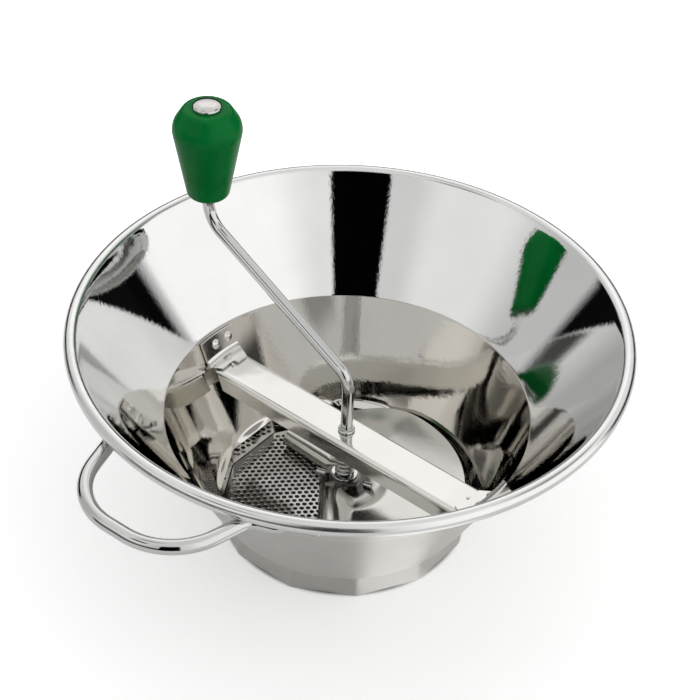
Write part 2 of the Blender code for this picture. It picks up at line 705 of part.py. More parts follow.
def make_collar():
    bore = ROD_RADIUS + SEAT_GAP
    outline = [(bore, 0), (COLLAR_RADIUS, 0), (COLLAR_RADIUS, COLLAR_HEIGHT * COLLAR_EDGE_SHARE),
               (COLLAR_RADIUS - COLLAR_FLARE, COLLAR_HEIGHT), (bore, COLLAR_HEIGHT)]
    collar = turned("stop_collar", outline, ROUND_SEGMENTS, materials["steel"])
    collar.location.z = COLLAR_BASE
    return collar


# Blade

def plate_height(azimuth, radius):
    """The blade's flat part and its ramp down to the roll, both of which
    start from one level at the hub."""
    low = roll_centre() + ROLL_RADIUS - BLADE_SHEET / 2
    height = lerp(BLADE_HEIGHT, low, smooth_share(azimuth, RAMP_START, RAMP_END))
    return lerp(BLADE_ROOT_HEIGHT, height, smooth_share(radius, BLADE_ROOT_RADIUS, 2 * HUB_RADIUS))


def roll_centre():
    return SIEVE_TOP + BLADE_SIEVE_GAP + ROLL_RADIUS


def roll_point(along, share, opened):
    """A point on the rolled edge. share runs from the tucked end of the
    sheet to the top, where the roll meets the ramp."""
    direction = polar(1, TRAIL_AZIMUTH)
    sideways = polar(1, TRAIL_AZIMUTH - QUARTER_TURN)
    middle = ROLL_RADIUS - BLADE_SHEET / 2
    angle = QUARTER_TURN + opened * (1 - share)
    offset = ROLL_OFFSET + middle * math.cos(angle)
    place = direction * along + sideways * offset
    place.z = roll_centre() + middle * math.sin(angle)
    return place


def ridge_height(share):
    """Across the leading edge: a steep outer flank, a rounded top and a long
    fall to the plate."""
    if share < RIDGE_CROWN_SHARE:
        climb = 1 - share / RIDGE_CROWN_SHARE
        return lerp(LEAD_EDGE_HEIGHT, RIDGE_HEIGHT, math.sqrt(1 - climb * climb))
    return lerp(RIDGE_HEIGHT, BLADE_HEIGHT, smooth_share(share, RIDGE_CROWN_SHARE, 1))


def roll_columns(count):
    """Columns of the rolled edge, from the sheet's tucked end to the top."""
    columns = []
    for index in range(count):
        share = index / (count - 1)
        hub_azimuth = TRAIL_AZIMUTH - lerp(ROLL_HUB_START, ROLL_HUB_END, share)
        column = [polar(HUB_RADIUS, hub_azimuth, lerp(HUB_SKIRT_HEIGHT, BLADE_ROOT_HEIGHT, share))]
        for row in range(BLADE_ROWS):
            along = lerp(ROLL_START, TRAIL_LENGTH, row / (BLADE_ROWS - 1))
            opened = ROLL_TURN * ROLL_OPENED_SHARES[min(row, len(ROLL_OPENED_SHARES) - 1)]
            top = roll_point(along, 1, opened)
            lift = plate_height(math.atan2(top.y, top.x), top.xy.length) - top.z
            column.append(roll_point(along, share, opened) + UP * lift)
        columns.append(column)
    return columns


def ridge_columns(shares):
    """Columns of the leading edge, straight lines side by side from the hub
    to the rim, the last of them along the edge itself."""
    along, side = polar(1, LEAD_AZIMUTH), polar(1, LEAD_AZIMUTH + QUARTER_TURN)
    columns = []
    for share in shares:
        offset = lerp(-LEAD_OFFSET, RIDGE_WIDTH - LEAD_OFFSET, share)
        column = []
        reach = [math.sqrt(radius ** 2 - offset ** 2)
                 for radius in (HUB_RADIUS, BLADE_ROOT_RADIUS, BLADE_RADIUS)]
        steps = [reach[0]] + [lerp(reach[1], reach[2], row / (BLADE_ROWS - 1)) for row in range(BLADE_ROWS)]
        for distance in steps:
            place = along * distance + side * offset
            sunk = plate_height(LEAD_AZIMUTH, place.length) - BLADE_HEIGHT
            place.z = ridge_height(share) + sunk * smooth_share(share, RIDGE_CROWN_SHARE, 1)
            column.append(place)
        columns.append(column)
    return columns


def plate_columns(first, last, count):
    """Columns between the roll's top line and the ridge's foot."""
    columns = []
    ends = [(line[0], line[1], line[-1]) for line in (first, last)]
    for index in range(1, count):
        share = index / count
        hub, root, rim = [
            polar(lerp(near.xy.length, far.xy.length, share),
                  lerp(math.atan2(near.y, near.x), math.atan2(far.y, far.x), share))
            for near, far in zip(*ends)]
        rim *= lerp(1, BLADE_RADIUS / rim.length, smooth_share(share, 0, RIM_GROWTH_SHARE))
        column = [hub + UP * BLADE_ROOT_HEIGHT]
        for row in range(BLADE_ROWS):
            place = root.lerp(rim, row / (BLADE_ROWS - 1))
            place.z = plate_height(math.atan2(place.y, place.x), place.length)
            column.append(place)
        columns.append(column)
    return columns


def make_blade():
    """One grid of columns round the hub: dome rings within, then the roll,
    the plate and the ridge. The open quarter has the dome's rings only."""
    rolled = roll_columns(ROLL_COLUMNS)
    ridge = ridge_columns(RIDGE_SHARES)
    columns = rolled + plate_columns(rolled[-1], ridge[0], PLATE_COLUMNS) + ridge
    blade_count = len(columns)
    gap_start = math.atan2(ridge[-1][0].y, ridge[-1][0].x)
    gap_end = math.atan2(rolled[0][0].y, rolled[0][0].x) - FULL_TURN
    for index in range(1, OPEN_COLUMNS):
        columns.append([polar(HUB_RADIUS, lerp(gap_start, gap_end, index / OPEN_COLUMNS), HUB_SKIRT_HEIGHT)])

    bm = bmesh.new()
    grid = []
    for column in columns:
        edge = column[0]
        azimuth = math.atan2(edge.y, edge.x)
        verts = []
        for out_share, drop_share in DOME_SHARES:
            radius = lerp(ROD_RADIUS + SEAT_GAP, HUB_RADIUS, out_share)
            verts.append(bm.verts.new(polar(radius, azimuth, lerp(HUB_HEIGHT, edge.z, drop_share))))
        grid.append(verts + [bm.verts.new(place) for place in column[1:]])
    for index, verts in enumerate(grid):
        following = grid[(index + 1) % len(grid)]
        rows = len(verts) if index < blade_count - 1 else len(DOME_SHARES)
        for row in range(rows - 1):
            bm.faces.new((verts[row], verts[row + 1], following[row + 1], following[row]))
    blade = add_object("blade", bm, materials["polished_steel"], BLADE_SMOOTH_ANGLE)
    solidify(blade, BLADE_SHEET)
    boolean(blade, rod_cutter("hub_pin_hole", PIN_RADIUS + SEAT_GAP, 2 * HUB_RADIUS + OVERRUN, PIN_SEGMENTS,
                              (QUARTER_TURN, 0, PIN_AZIMUTH + QUARTER_TURN), (0, 0, PIN_HEIGHT)))
    return blade


def make_pin():
    length = 2 * PIN_HALF_LENGTH
    outline = [(PIN_BORE, -length / 2), (PIN_RADIUS, -length / 2), (PIN_RADIUS, length / 2),
               (PIN_BORE, length / 2)]
    pin = turned("drive_pin", outline, PIN_SEGMENTS, materials["steel"])
    pin.rotation_euler = (QUARTER_TURN, 0, PIN_AZIMUTH + QUARTER_TURN)
    pin.location.z = PIN_HEIGHT
    return pin


# Spring

def spring_points():
    """A helix with one close turn at each end."""
    rise = SPRING_TOP - SPRING_BASE - 2 * SPRING_WIRE_RADIUS
    active_pitch = (rise - 2 * SPRING_END_PITCH) / (SPRING_TURNS - 2)
    count = int(SPRING_TURNS * SPRING_POINTS_PER_TURN)
    points = []
    for index in range(count + 1):
        turns = SPRING_TURNS * index / count
        height = (SPRING_END_PITCH * min(turns, 1) + active_pitch * min(max(turns - 1, 0), SPRING_TURNS - 2)
                  + SPRING_END_PITCH * max(turns - SPRING_TURNS + 1, 0))
        points.append(polar(SPRING_RADIUS, FULL_TURN * turns, SPRING_BASE + SPRING_WIRE_RADIUS + height))
    return points


def make_spring():
    points = spring_points()
    apart = SPRING_POINTS_PER_TURN // 2
    least = min((points[first] - points[second]).length
                for first in range(len(points)) for second in range(first + apart, len(points)))
    print("least gap between the spring's turns: %.2f mm" % ((least - 2 * SPRING_WIRE_RADIUS) / MM))
    curve = bpy.data.curves.new("spring", "CURVE")
    curve.dimensions = "3D"
    curve.bevel_depth = SPRING_WIRE_RADIUS
    curve.bevel_resolution = 1
    curve.use_fill_caps = True
    spline = curve.splines.new("POLY")
    spline.points.add(len(points) - 1)
    for knot, point in zip(spline.points, points):
        knot.co = (*point, 1)
    curve.materials.append(materials["steel"])
    obj = bpy.data.objects.new("spring", curve)
    bpy.context.scene.collection.objects.link(obj)
    return obj


# Knob

def make_knob():
    bore = ROD_RADIUS + KNOB_FIT
    corners = [Vector((bore, 0)), Vector((KNOB_BASE_RADIUS, 0)), Vector((KNOB_RADIUS, KNOB_WAIST_HEIGHT)),
               Vector((KNOB_TOP_RADIUS + KNOB_TOP_ROUND, KNOB_LENGTH)),
               Vector((bore, KNOB_LENGTH))]
    outline = fillet_path(corners, [KNOB_BASE_ROUND, KNOB_SHOULDER_ROUND, KNOB_TOP_ROUND], 5)
    knob = turned("knob", outline, KNOB_SEGMENTS, materials["green_plastic"])
    knob.location = polar(ARM_REACH, CRANK_AZIMUTH, KNOB_BASE_HEIGHT)
    return knob


def make_button():
    """The domed steel button that holds the knob on, bored for the rod."""
    bore = ROD_RADIUS + SEAT_GAP
    depth = BUTTON_HEIGHT / 2
    steps = 4
    outline = [(0, depth), (bore, depth), (bore, 0), (BUTTON_RADIUS, 0)]
    outline += [(BUTTON_RADIUS * math.cos(QUARTER_TURN * step / steps),
                 BUTTON_EDGE + (BUTTON_HEIGHT - BUTTON_EDGE) * math.sin(QUARTER_TURN * step / steps))
                for step in range(steps)]
    outline.append((0, BUTTON_HEIGHT))
    button = turned("knob_button", outline, ROUND_SEGMENTS, materials["polished_steel"])
    button.location = polar(ARM_REACH, CRANK_AZIMUTH, BUTTON_BASE)
    return button


# The model

for old in list(bpy.data.objects):
    bpy.data.objects.remove(old, do_unlink=True)

materials = {
    "polished_steel": make_material("polished_steel", (0.80, 0.80, 0.78), 0.08, 1),
    "steel": make_material("steel", (0.72, 0.72, 0.71), 0.22, 1),
    "green_plastic": make_material("green_plastic", (0.003, 0.16, 0.03), 0.3, 0),
}

make_bowl()
make_sieve()
make_handle()
for label, turn in (("left", 0), ("right", math.pi)):
    make_bracket("bracket_" + label, BAR_AZIMUTH + turn)
    for number, side in ((1, -1), (2, 1)):
        make_rivet("rivet_%s_%d" % (label, number), BAR_AZIMUTH + turn, side * RIVET_SPACING / 2 - RIVET_SHIFT)

make_crossbar()
upper_washer = ring("spring_washer_upper", ROD_RADIUS + SHAFT_FIT, WASHER_RADIUS, WASHER_THICKNESS)
upper_washer.location.z = UPPER_WASHER_BASE

make_spring()
lower_washer = ring("spring_washer_lower", ROD_RADIUS + SHAFT_FIT, WASHER_RADIUS, WASHER_THICKNESS)
lower_washer.location.z = LOWER_WASHER_BASE

make_crank()
make_collar()
make_blade()
make_pin()
make_button()
make_knob()
stop_ring = ring("knob_ring", ROD_RADIUS + SEAT_GAP, RING_RADIUS, RING_HEIGHT)
stop_ring.location = polar(ARM_REACH, CRANK_AZIMUTH, KNOB_BASE_HEIGHT - SEAT_GAP - RING_HEIGHT)
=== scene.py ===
"""Looks of the food mill: fine meshes for the spun, bent and stamped steel,
procedural finishes, a pale floor, a soft studio and the camera."""

import json
import math

import bmesh
import bpy
from mathutils import Matrix, Vector
from mathutils.geometry import delaunay_2d_cdt


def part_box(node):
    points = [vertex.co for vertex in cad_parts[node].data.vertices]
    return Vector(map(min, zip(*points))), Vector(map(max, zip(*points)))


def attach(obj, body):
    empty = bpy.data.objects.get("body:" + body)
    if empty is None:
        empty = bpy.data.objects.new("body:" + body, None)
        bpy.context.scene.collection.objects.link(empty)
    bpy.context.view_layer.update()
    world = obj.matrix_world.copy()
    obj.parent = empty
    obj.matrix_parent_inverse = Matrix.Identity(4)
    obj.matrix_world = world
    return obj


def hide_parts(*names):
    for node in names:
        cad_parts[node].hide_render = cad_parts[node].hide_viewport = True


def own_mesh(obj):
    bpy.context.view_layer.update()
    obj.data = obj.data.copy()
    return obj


MM = 0.001
FULL_TURN = 2 * math.pi
QUARTER_TURN = math.pi / 2
UP = Vector((0, 0, 1))

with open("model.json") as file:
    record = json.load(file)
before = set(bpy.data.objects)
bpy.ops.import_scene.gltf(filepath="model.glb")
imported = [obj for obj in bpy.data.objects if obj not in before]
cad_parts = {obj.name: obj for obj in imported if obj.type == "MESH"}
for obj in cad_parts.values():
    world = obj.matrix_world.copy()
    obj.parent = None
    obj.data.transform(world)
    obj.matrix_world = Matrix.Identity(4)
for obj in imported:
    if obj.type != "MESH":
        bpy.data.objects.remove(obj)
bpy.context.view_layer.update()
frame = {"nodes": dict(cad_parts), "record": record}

# Sizes read from the frame
RIM_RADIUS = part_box("bowl")[1].x
RIM_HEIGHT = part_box("bowl")[1].z
SIEVE_BASE, SIEVE_TOP = (corner.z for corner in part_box("sieve"))
KNOB_LOW, KNOB_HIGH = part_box("knob")
KNOB_AXIS = ((KNOB_LOW + KNOB_HIGH) / 2).xy
BUTTON_LOW, BUTTON_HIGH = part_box("knob_button")
COLLAR_LOW, COLLAR_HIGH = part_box("stop_collar")
SPRING_LOW, SPRING_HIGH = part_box("spring")
BAR_TOP_HEIGHT = COLLAR_LOW.z - 0.3 * MM

# Sizes of the spun bowl, as in the frame's source
SHEET = 1.2 * MM
SEAT_GAP = 0.3 * MM
BEAD_RADIUS = 4 * MM
CURL_TURN = math.radians(275)
CREASE_RADIUS = 103.4 * MM
CREASE_HEIGHT = 75.7 * MM
CREASE_FILLET = 5 * MM
BAND_SIDES = 12
BAND_RADIUS = 72.9 * MM
BAND_HEIGHT = 14.5 * MM
LEDGE_HEIGHT = 3.2 * MM
BASE_FILLET = 1.6 * MM
LIP_WIDTH = 6.5 * MM
FLARE_SLOPE_SHARE = 0.6
CONE_BULGE = 0.4 * MM
BAND_ROUND = 6 * MM
BOWL_SEGMENTS = 30 * BAND_SIDES

SIEVE_HOLE_RADIUS = 1.3 * MM
SIEVE_PITCH = 3.8 * MM
SIEVE_FIT = 0.5 * MM
SIEVE_HOLE_SIDES = 10
SIEVE_CHAMFER = 0.2 * MM
SIEVE_EDGE = 2.6 * MM
SIEVE_MIDDLE_EDGE = 3 * MM
SIEVE_MIDDLE_FIT = 0.5 * MM

CRANK_AZIMUTH = math.atan2(KNOB_AXIS.y, KNOB_AXIS.x)
ARM_REACH = KNOB_AXIS.length
ROD_RADIUS = 3.5 * MM
PILOT_RADIUS = 2.2 * MM
PILOT_LENGTH = 3.6 * MM
PILOT_END_HEIGHT = 0.9 * MM
ARM_LOW_CORNER_HEIGHT = 98.3 * MM
ARM_HIGH_CORNER_HEIGHT = 143.3 * MM
ARM_LOW_BEND = 13 * MM
ARM_HIGH_BEND = 17 * MM

BAR_AZIMUTH = math.radians(134.6)
BAR_SHEET = 1.5 * MM
BAR_HALF_WIDTH = 12 * MM
BAR_DEPTH = 12 * MM
BAR_CORNER = 2.2 * MM
BAR_END_GAP = 1.6 * MM
TONGUE_LENGTH = 5 * MM
FLANGE_SLANT = 4 * MM
TONGUE_CORNER = 4 * MM
SHAFT_FIT = 0.45 * MM
PIP_RADIUS = 1.1 * MM
PIP_HEIGHT = 1.3 * MM
PIP_ROOT = 0.5 * MM
PIP_ROUND_SHARE = 0.55
PIP_CROWN_SHARE = 0.6
BAR_STATION = 10 * MM
BAR_END_STATION = 0.5 * MM

BRACKET_SHEET = 1.5 * MM
BRACKET_HALF_WIDTH = 12.9 * MM
BRACKET_TIP_HALF_WIDTH = 9.2 * MM
BRACKET_LIP_REACH = 11 * MM
BRACKET_STEP = 2.8 * MM
BRACKET_FIT = 0.5 * MM
BRACKET_STEP_SHARE = -0.1
BRACKET_STEP_WIDTH_SHARE = 0.03
BRACKET_RISE = 13.8 * MM
BRACKET_BEND = 2 * MM
RIVET_SPACING = 10 * MM
RIVET_SHIFT = 2.6 * MM
RIVET_RADIUS = 2.9 * MM
RIVET_HEIGHT = 1.3 * MM
RIVET_RISE = 9 * MM
LIP_HEIGHT = BAR_TOP_HEIGHT + SEAT_GAP + BRACKET_SHEET / 2

BLADE_SHEET = 1.6 * MM
BLADE_RADIUS = 70 * MM
BLADE_HEIGHT = 21.5 * MM
BLADE_ROOT_HEIGHT = 19 * MM
BLADE_ROOT_RADIUS = 18 * MM
BLADE_SIEVE_GAP = 0.3 * MM
HUB_RADIUS = 14 * MM
HUB_HEIGHT = 25 * MM
HUB_SKIRT_HEIGHT = 17 * MM
HUB_CROWN_SHARE = 0.42
HUB_BLEND_START = 8 * MM
HUB_BLEND_END = 22 * MM
HUB_BLEND_PASSES = 6
TRAIL_AZIMUTH = math.radians(132.6)
TRAIL_LENGTH = 57 * MM
ROLL_RADIUS = 5.7 * MM
ROLL_OFFSET = 15 * MM
ROLL_START = 12 * MM
ROLL_TURN = math.radians(205)
ROLL_HUB_START = math.radians(34)
ROLL_HUB_END = math.radians(62)
RAMP_START = math.radians(46)
RAMP_END = math.radians(86)
LEAD_AZIMUTH = math.radians(-97.4)
LEAD_OFFSET = 13.5 * MM
LEAD_EDGE_HEIGHT = 16.5 * MM
RIDGE_HEIGHT = 26 * MM
RIDGE_WIDTH = 20 * MM
RIDGE_CROWN_SHARE = 0.38
RIM_GROWTH_SHARE = 0.28
BLADE_ROWS = 30

PIN_AZIMUTH = math.radians(-26.4)
PIN_RADIUS = 1.7 * MM
PIN_BORE = 0.9 * MM
PIN_HALF_LENGTH = 17 * MM
PIN_HEIGHT = 22 * MM
PIN_HALF_GAP = math.radians(14)
PIN_ROUND = 0.12 * MM
PIN_HOLE_EXTRA = 4 * MM

COLLAR_ROUND = 0.2 * MM
COLLAR_FLARE = 0.9 * MM
BUTTON_EDGE = 0.9 * MM

SPRING_RADIUS = 5 * MM
SPRING_WIRE_RADIUS = 0.75 * MM
SPRING_TURNS = 9.5
SPRING_END_PITCH = 2.05 * MM

KNOB_RADIUS = 20.4 * MM
KNOB_BASE_RADIUS = 12 * MM
KNOB_WAIST_HEIGHT = 46 * MM
KNOB_TOP_RADIUS = 9.4 * MM
KNOB_BASE_ROUND = 3 * MM
KNOB_SHOULDER_ROUND = 13 * MM
KNOB_TOP_ROUND = 4 * MM
KNOB_FIT = 0.4 * MM

HANDLE_AZIMUTH = math.radians(-133.5)
HANDLE_RADIUS = 4 * MM
HANDLE_REACH = 186.3 * MM
HANDLE_SHOULDER_HALF_WIDTH = 33.4 * MM
HANDLE_GRIP_BEND = 36 * MM
HANDLE_ROOT_BEND = 11 * MM
HANDLE_ROOT_ANGLE = math.radians(18.1)
HANDLE_END_ANGLE = math.radians(32)
HANDLE_ROOT_RUN = math.radians(5)
HANDLE_FLAT_SPAN = math.radians(5.5)
HANDLE_TIP_SPAN = math.radians(1)
HANDLE_FLAT_HALF_THICKNESS = 2 * MM
HANDLE_FLAT_HALF_WIDTH = 5.4 * MM
HANDLE_FIT = 0.6 * MM
HANDLE_FLAT_POWER = 0.6
HANDLE_TIP_WIDTH_SHARE = 0.55
HANDLE_TIP_THICKNESS_SHARE = 0.8

# The camera, which looks down into the bowl
CAMERA_AZIMUTH = math.radians(-97.4)
CAMERA_ELEVATION = math.radians(42.37)
CAMERA_DISTANCE = 1.105
CAMERA_TARGET_HEIGHT = 0.06
CAMERA_LIFT = math.radians(2.35)
CAMERA_ROLL = math.radians(2.55)
CAMERA_LENS_MM = 100
CAMERA_SENSOR_MM = 36
CAMERA_CLIP_START = 0.05

# Finishes: the depth of marks and waves, each noise by its scale, detail and
# roughness, and the span of a noise that is used
MARK_DEPTH = 0.05 * MM
WAVE_DEPTH = 1 * MM
MARKS = (1, 3, 0.6)
WAVES = (1, 0.4)
SMUDGES = (28, 3, 0.55)
GLOSS_TURN = 0.25
SMUDGE_RANGE = (0.3, 0.75)
SMUDGE_TONE = 0.94
BLOTCH_RANGE = (0.12, 0.42)
# The width over which the hub's painted shade fades out
HUB_SHADE_FADE = 6 * MM
PLASTIC_RANGE = (0.3, 0.7)
PLASTIC_LIGHT = (0.001, 0.180, 0.034)
PLASTIC_DARK = (0.001, 0.142, 0.026)
PLASTIC_ROUGHNESS = (0.20, 0.30)
PLASTIC_SHEEN = 0.07
PLASTIC_GRAIN = (900, 2, 0.5)
PLASTIC_CLOUD = (60, 2, 0.5)
PLASTIC_GRAIN_STRENGTH = 0.08

# Meshes
EDGE_ROUND = 0.3 * MM
WELD_REACH = 0.001 * MM
HOLE_WELD_REACH = 0.0001 * MM


# Nodes

class Nodes:
    """Adds and links the nodes of one tree."""

    def __init__(self, tree):
        self.tree = tree

    def node(self, kind, **settings):
        made = self.tree.nodes.new(kind)
        for key, value in settings.items():
            setattr(made, key, value)
        return made

    def feed(self, socket, value):
        if isinstance(value, bpy.types.NodeSocket):
            self.tree.links.new(value, socket)
        else:
            socket.default_value = value

    def fed(self, made, *values):
        for socket, value in zip(made.inputs, values):
            self.feed(socket, value)
        return made.outputs[0]

    def math(self, operation, *values):
        return self.fed(self.node("ShaderNodeMath", operation=operation), *values)

    def times(self, first, second):
        return self.math("MULTIPLY", first, second)

    def remap(self, value, low, high, to_low, to_high, kind="LINEAR"):
        made = self.node("ShaderNodeMapRange", interpolation_type=kind)
        return self.fed(made, value, low, high, to_low, to_high)

    def combine(self, x, y, z):
        return self.fed(self.node("ShaderNodeCombineXYZ"), x, y, z)

    def axes(self, space="Object"):
        coordinates = self.node("ShaderNodeTexCoord")
        split = self.node("ShaderNodeSeparateXYZ")
        self.feed(split.inputs[0], coordinates.outputs[space])
        return split.outputs

    def radius(self, x, y):
        return self.math("SQRT", self.math("ADD", self.times(x, x), self.times(y, y)))

    def turned(self, x, y, azimuth):
        """How far a point lies along an azimuth, and how far aside."""
        cosine, sine = math.cos(azimuth), math.sin(azimuth)
        along = self.math("ADD", self.times(x, cosine), self.times(y, sine))
        aside = self.math("SUBTRACT", self.times(y, cosine), self.times(x, sine))
        return along, aside

    def away_from(self, x, y, azimuth):
        """The angle between a point's own azimuth and this one."""
        along, aside = self.turned(x, y, azimuth)
        return self.math("ABSOLUTE", self.math("ARCTAN2", aside, along))


class Shader(Nodes):
    """The nodes of one new material."""

    def __init__(self, name):
        self.material = bpy.data.materials.new(name)
        self.material.use_nodes = True
        super().__init__(self.material.node_tree)
        self.surface = self.tree.nodes["Principled BSDF"]

    def set(self, socket, value):
        self.feed(self.surface.inputs[socket], value)

    def noise(self, scale, detail, roughness, vector=None):
        made = self.node("ShaderNodeTexNoise")
        for socket, value in (("Vector", vector or self.combine(*self.axes())), ("Scale", scale),
                              ("Detail", detail), ("Roughness", roughness)):
            self.feed(made.inputs[socket], value)
        return made.outputs["Fac"]

    def bump(self, height, strength, distance, below=None):
        made = self.node("ShaderNodeBump")
        made.inputs["Strength"].default_value = strength
        made.inputs["Distance"].default_value = distance
        self.feed(made.inputs["Height"], height)
        if below:
            self.feed(made.inputs["Normal"], below)
        return made.outputs[0]

    def mix_colour(self, share, first, second):
        made = self.node("ShaderNodeMix", data_type="RGBA")
        self.feed(made.inputs["Factor"], share)
        self.feed(made.inputs["A"], (*first, 1))
        self.feed(made.inputs["B"], (*second, 1))
        return made.outputs["Result"]


def spun_marks(shader, across, around):
    """Coordinates that run across the spinning marks and along them."""
    x, y, z = shader.axes()
    angle = shader.math("ARCTAN2", y, x)
    return shader.combine(shader.times(shader.radius(x, y), across), shader.times(angle, around),
                          shader.times(z, across))


def drawn_marks(shader, across, along):
    """Coordinates for marks that run along the crossbar."""
    x, y, z = shader.axes()
    length, width = shader.turned(x, y, BAR_AZIMUTH)
    return shader.combine(shader.times(length, along), shader.times(width, across), shader.times(z, across))


def steel(name, colour, roughness, marks, wave=None, spun=0.0, hub_painted_shade=1.0):
    """Polished or satin stainless steel. Fine marks vary the roughness and
    tilt the surface a little, and a slow waviness bends what it reflects.
    Where it is spun, the marks round the axis stretch the gloss up and
    down. Near the axis the colour can be darkened, as painted shade on the
    hub."""
    shader = Shader(name)
    if spun:
        tangent = shader.node("ShaderNodeTangent", direction_type="RADIAL", axis="Z")
        shader.set("Tangent", tangent.outputs[0])
        shader.set("Anisotropic", spun)
        shader.set("Anisotropic Rotation", GLOSS_TURN)
    make_vector, across, along, grain = marks
    fine = shader.noise(*MARKS, make_vector(shader, across, along))
    smudges = shader.noise(*SMUDGES)
    shader.set("Roughness", shader.remap(shader.times(smudges, fine), *BLOTCH_RANGE, *roughness))
    tone = shader.mix_colour(shader.remap(smudges, *SMUDGE_RANGE, 0, 1),
                             colour, [channel * SMUDGE_TONE for channel in colour])
    # Painted shade: the colour is darkened towards the axis, for the dark the hub sits in and reflects
    if hub_painted_shade < 1:
        x, y, _ = shader.axes()
        share = shader.remap(shader.radius(x, y), HUB_RADIUS, HUB_RADIUS + HUB_SHADE_FADE, hub_painted_shade, 1)
        scale = shader.node("ShaderNodeVectorMath", operation="SCALE")
        shader.feed(scale.inputs[0], tone)
        shader.feed(scale.inputs["Scale"], share)
        tone = scale.outputs[0]
    shader.set("Base Color", tone)
    shader.set("Metallic", 1)
    normal = shader.bump(fine, grain, MARK_DEPTH)
    if wave:
        strength, size = wave
        normal = shader.bump(shader.noise(size, *WAVES), strength, WAVE_DEPTH, normal)
    shader.set("Normal", normal)
    return shader.material


def make_plastic():
    shader = Shader("green_plastic")
    grain = shader.noise(*PLASTIC_GRAIN)
    cloud = shader.noise(*PLASTIC_CLOUD)
    share = shader.remap(cloud, *PLASTIC_RANGE, 0, 1)
    shader.set("Base Color", shader.mix_colour(share, PLASTIC_LIGHT, PLASTIC_DARK))
    shader.set("Roughness", shader.remap(grain, *PLASTIC_RANGE, *PLASTIC_ROUGHNESS))
    shader.set("Specular IOR Level", PLASTIC_SHEEN)
    shader.set("Normal", shader.bump(grain, PLASTIC_GRAIN_STRENGTH, MARK_DEPTH))
    return shader.material


# Meshes

def lerp(start, end, share):
    return start + (end - start) * share


def clamp(share):
    return min(max(share, 0), 1)


def smooth_share(value, start, end):
    share = clamp((value - start) / (end - start))
    return share * share * (3 - 2 * share)


def shares(count, first=0):
    """Even steps up to 1."""
    return [step / count for step in range(first, count + 1)]


def spread(start, end, count):
    return [lerp(start, end, share) for share in shares(count)]


def quarter(count, first=0):
    """Sines and cosines of even steps up to a right angle."""
    return [(math.sin(QUARTER_TURN * share), math.cos(QUARTER_TURN * share)) for share in shares(count, first)]


def polar(radius, azimuth, height=0):
    return Vector((radius * math.cos(azimuth), radius * math.sin(azimuth), height))


def azimuth_of(place):
    return math.atan2(place.y, place.x)


def circle(radius, count, height=0):
    return [polar(radius, FULL_TURN * step / count, height) for step in range(count)]


def mirror(place):
    return Vector((place.x, -place.y, place.z))


def fillet_path(corners, radii, steps):
    points = [corners[0]]
    for before, corner, after, radius in zip(corners, corners[1:], corners[2:], radii):
        arriving = (corner - before).normalized()
        leaving = (after - corner).normalized()
        turn = arriving.angle(leaving)
        if not radius or turn < math.radians(1):
            points.append(corner)
            continue
        start = corner - arriving * (radius * math.tan(turn / 2))
        inward = (leaving - arriving).normalized()
        centre = corner + inward * (radius / math.cos(turn / 2))
        spoke = (centre - start).normalized()
        for step in range(steps + 1):
            angle = turn * step / steps
            points.append(centre - spoke * (radius * math.cos(angle)) + arriving * (radius * math.sin(angle)))
    points.append(corners[-1])
    return points


def offset_path(path, distance):
    """The path moved sideways, to its left for a positive distance."""
    moved = []
    for index, point in enumerate(path):
        before, after = path[max(index - 1, 0)], path[min(index + 1, len(path) - 1)]
        arriving = (point - before).normalized() if index else (after - point).normalized()
        leaving = (after - point).normalized() if index < len(path) - 1 else arriving
        middle = (arriving + leaving).normalized()
        reach = distance / max(middle.dot(arriving), 0.5)
        moved.append(point + Vector((-middle.y, middle.x)) * reach)
    return moved


def finish_mesh(name, bm, materials, smooth_angle=math.radians(40), place=Matrix()):
    bm.transform(place)
    bmesh.ops.recalc_face_normals(bm, faces=bm.faces)
    mesh = bpy.data.meshes.new(name)
    bm.to_mesh(mesh)
    bm.free()
    mesh.shade_smooth()
    mesh.set_sharp_from_angle(angle=smooth_angle)
    for material in materials:
        mesh.materials.append(material)
    piece = bpy.data.objects.new(name, mesh)
    bpy.context.scene.collection.objects.link(piece)
    return piece


def settle(piece, body, replaced, slot):
    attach(piece, body)
    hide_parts(replaced)


def ribbon(bm, first, second, closed=True):
    """Faces between two rows of vertices, where a row of one is a tip."""
    count = max(len(first), len(second))
    if count == 1:
        return []
    first, second = (row * count if len(row) == 1 else row for row in (first, second))
    faces = []
    for index in range(count if closed else count - 1):
        following = (index + 1) % count
        corners = dict.fromkeys((first[index], first[following], second[following], second[index]))
        faces.append(bm.faces.new(tuple(corners)))
    return faces


def lathe(outline, segments, slots=None):
    """A turned solid. slots gives each edge of the outline its material."""
    bm = bmesh.new()
    rings = []
    for radius, height in outline:
        count = 1 if radius < WELD_REACH else segments
        rings.append([bm.verts.new(place) for place in circle(radius, count, height)])
    for number, (low, high) in enumerate(zip(rings, rings[1:] + rings[:1])):
        for face in ribbon(bm, low, high):
            if slots:
                face.material_index = slots[number]
    return bm


def settle_lathe(name, outline, segments, material, place, *home):
    settle(finish_mesh(name, lathe(outline, segments), [material], place=place), *home)


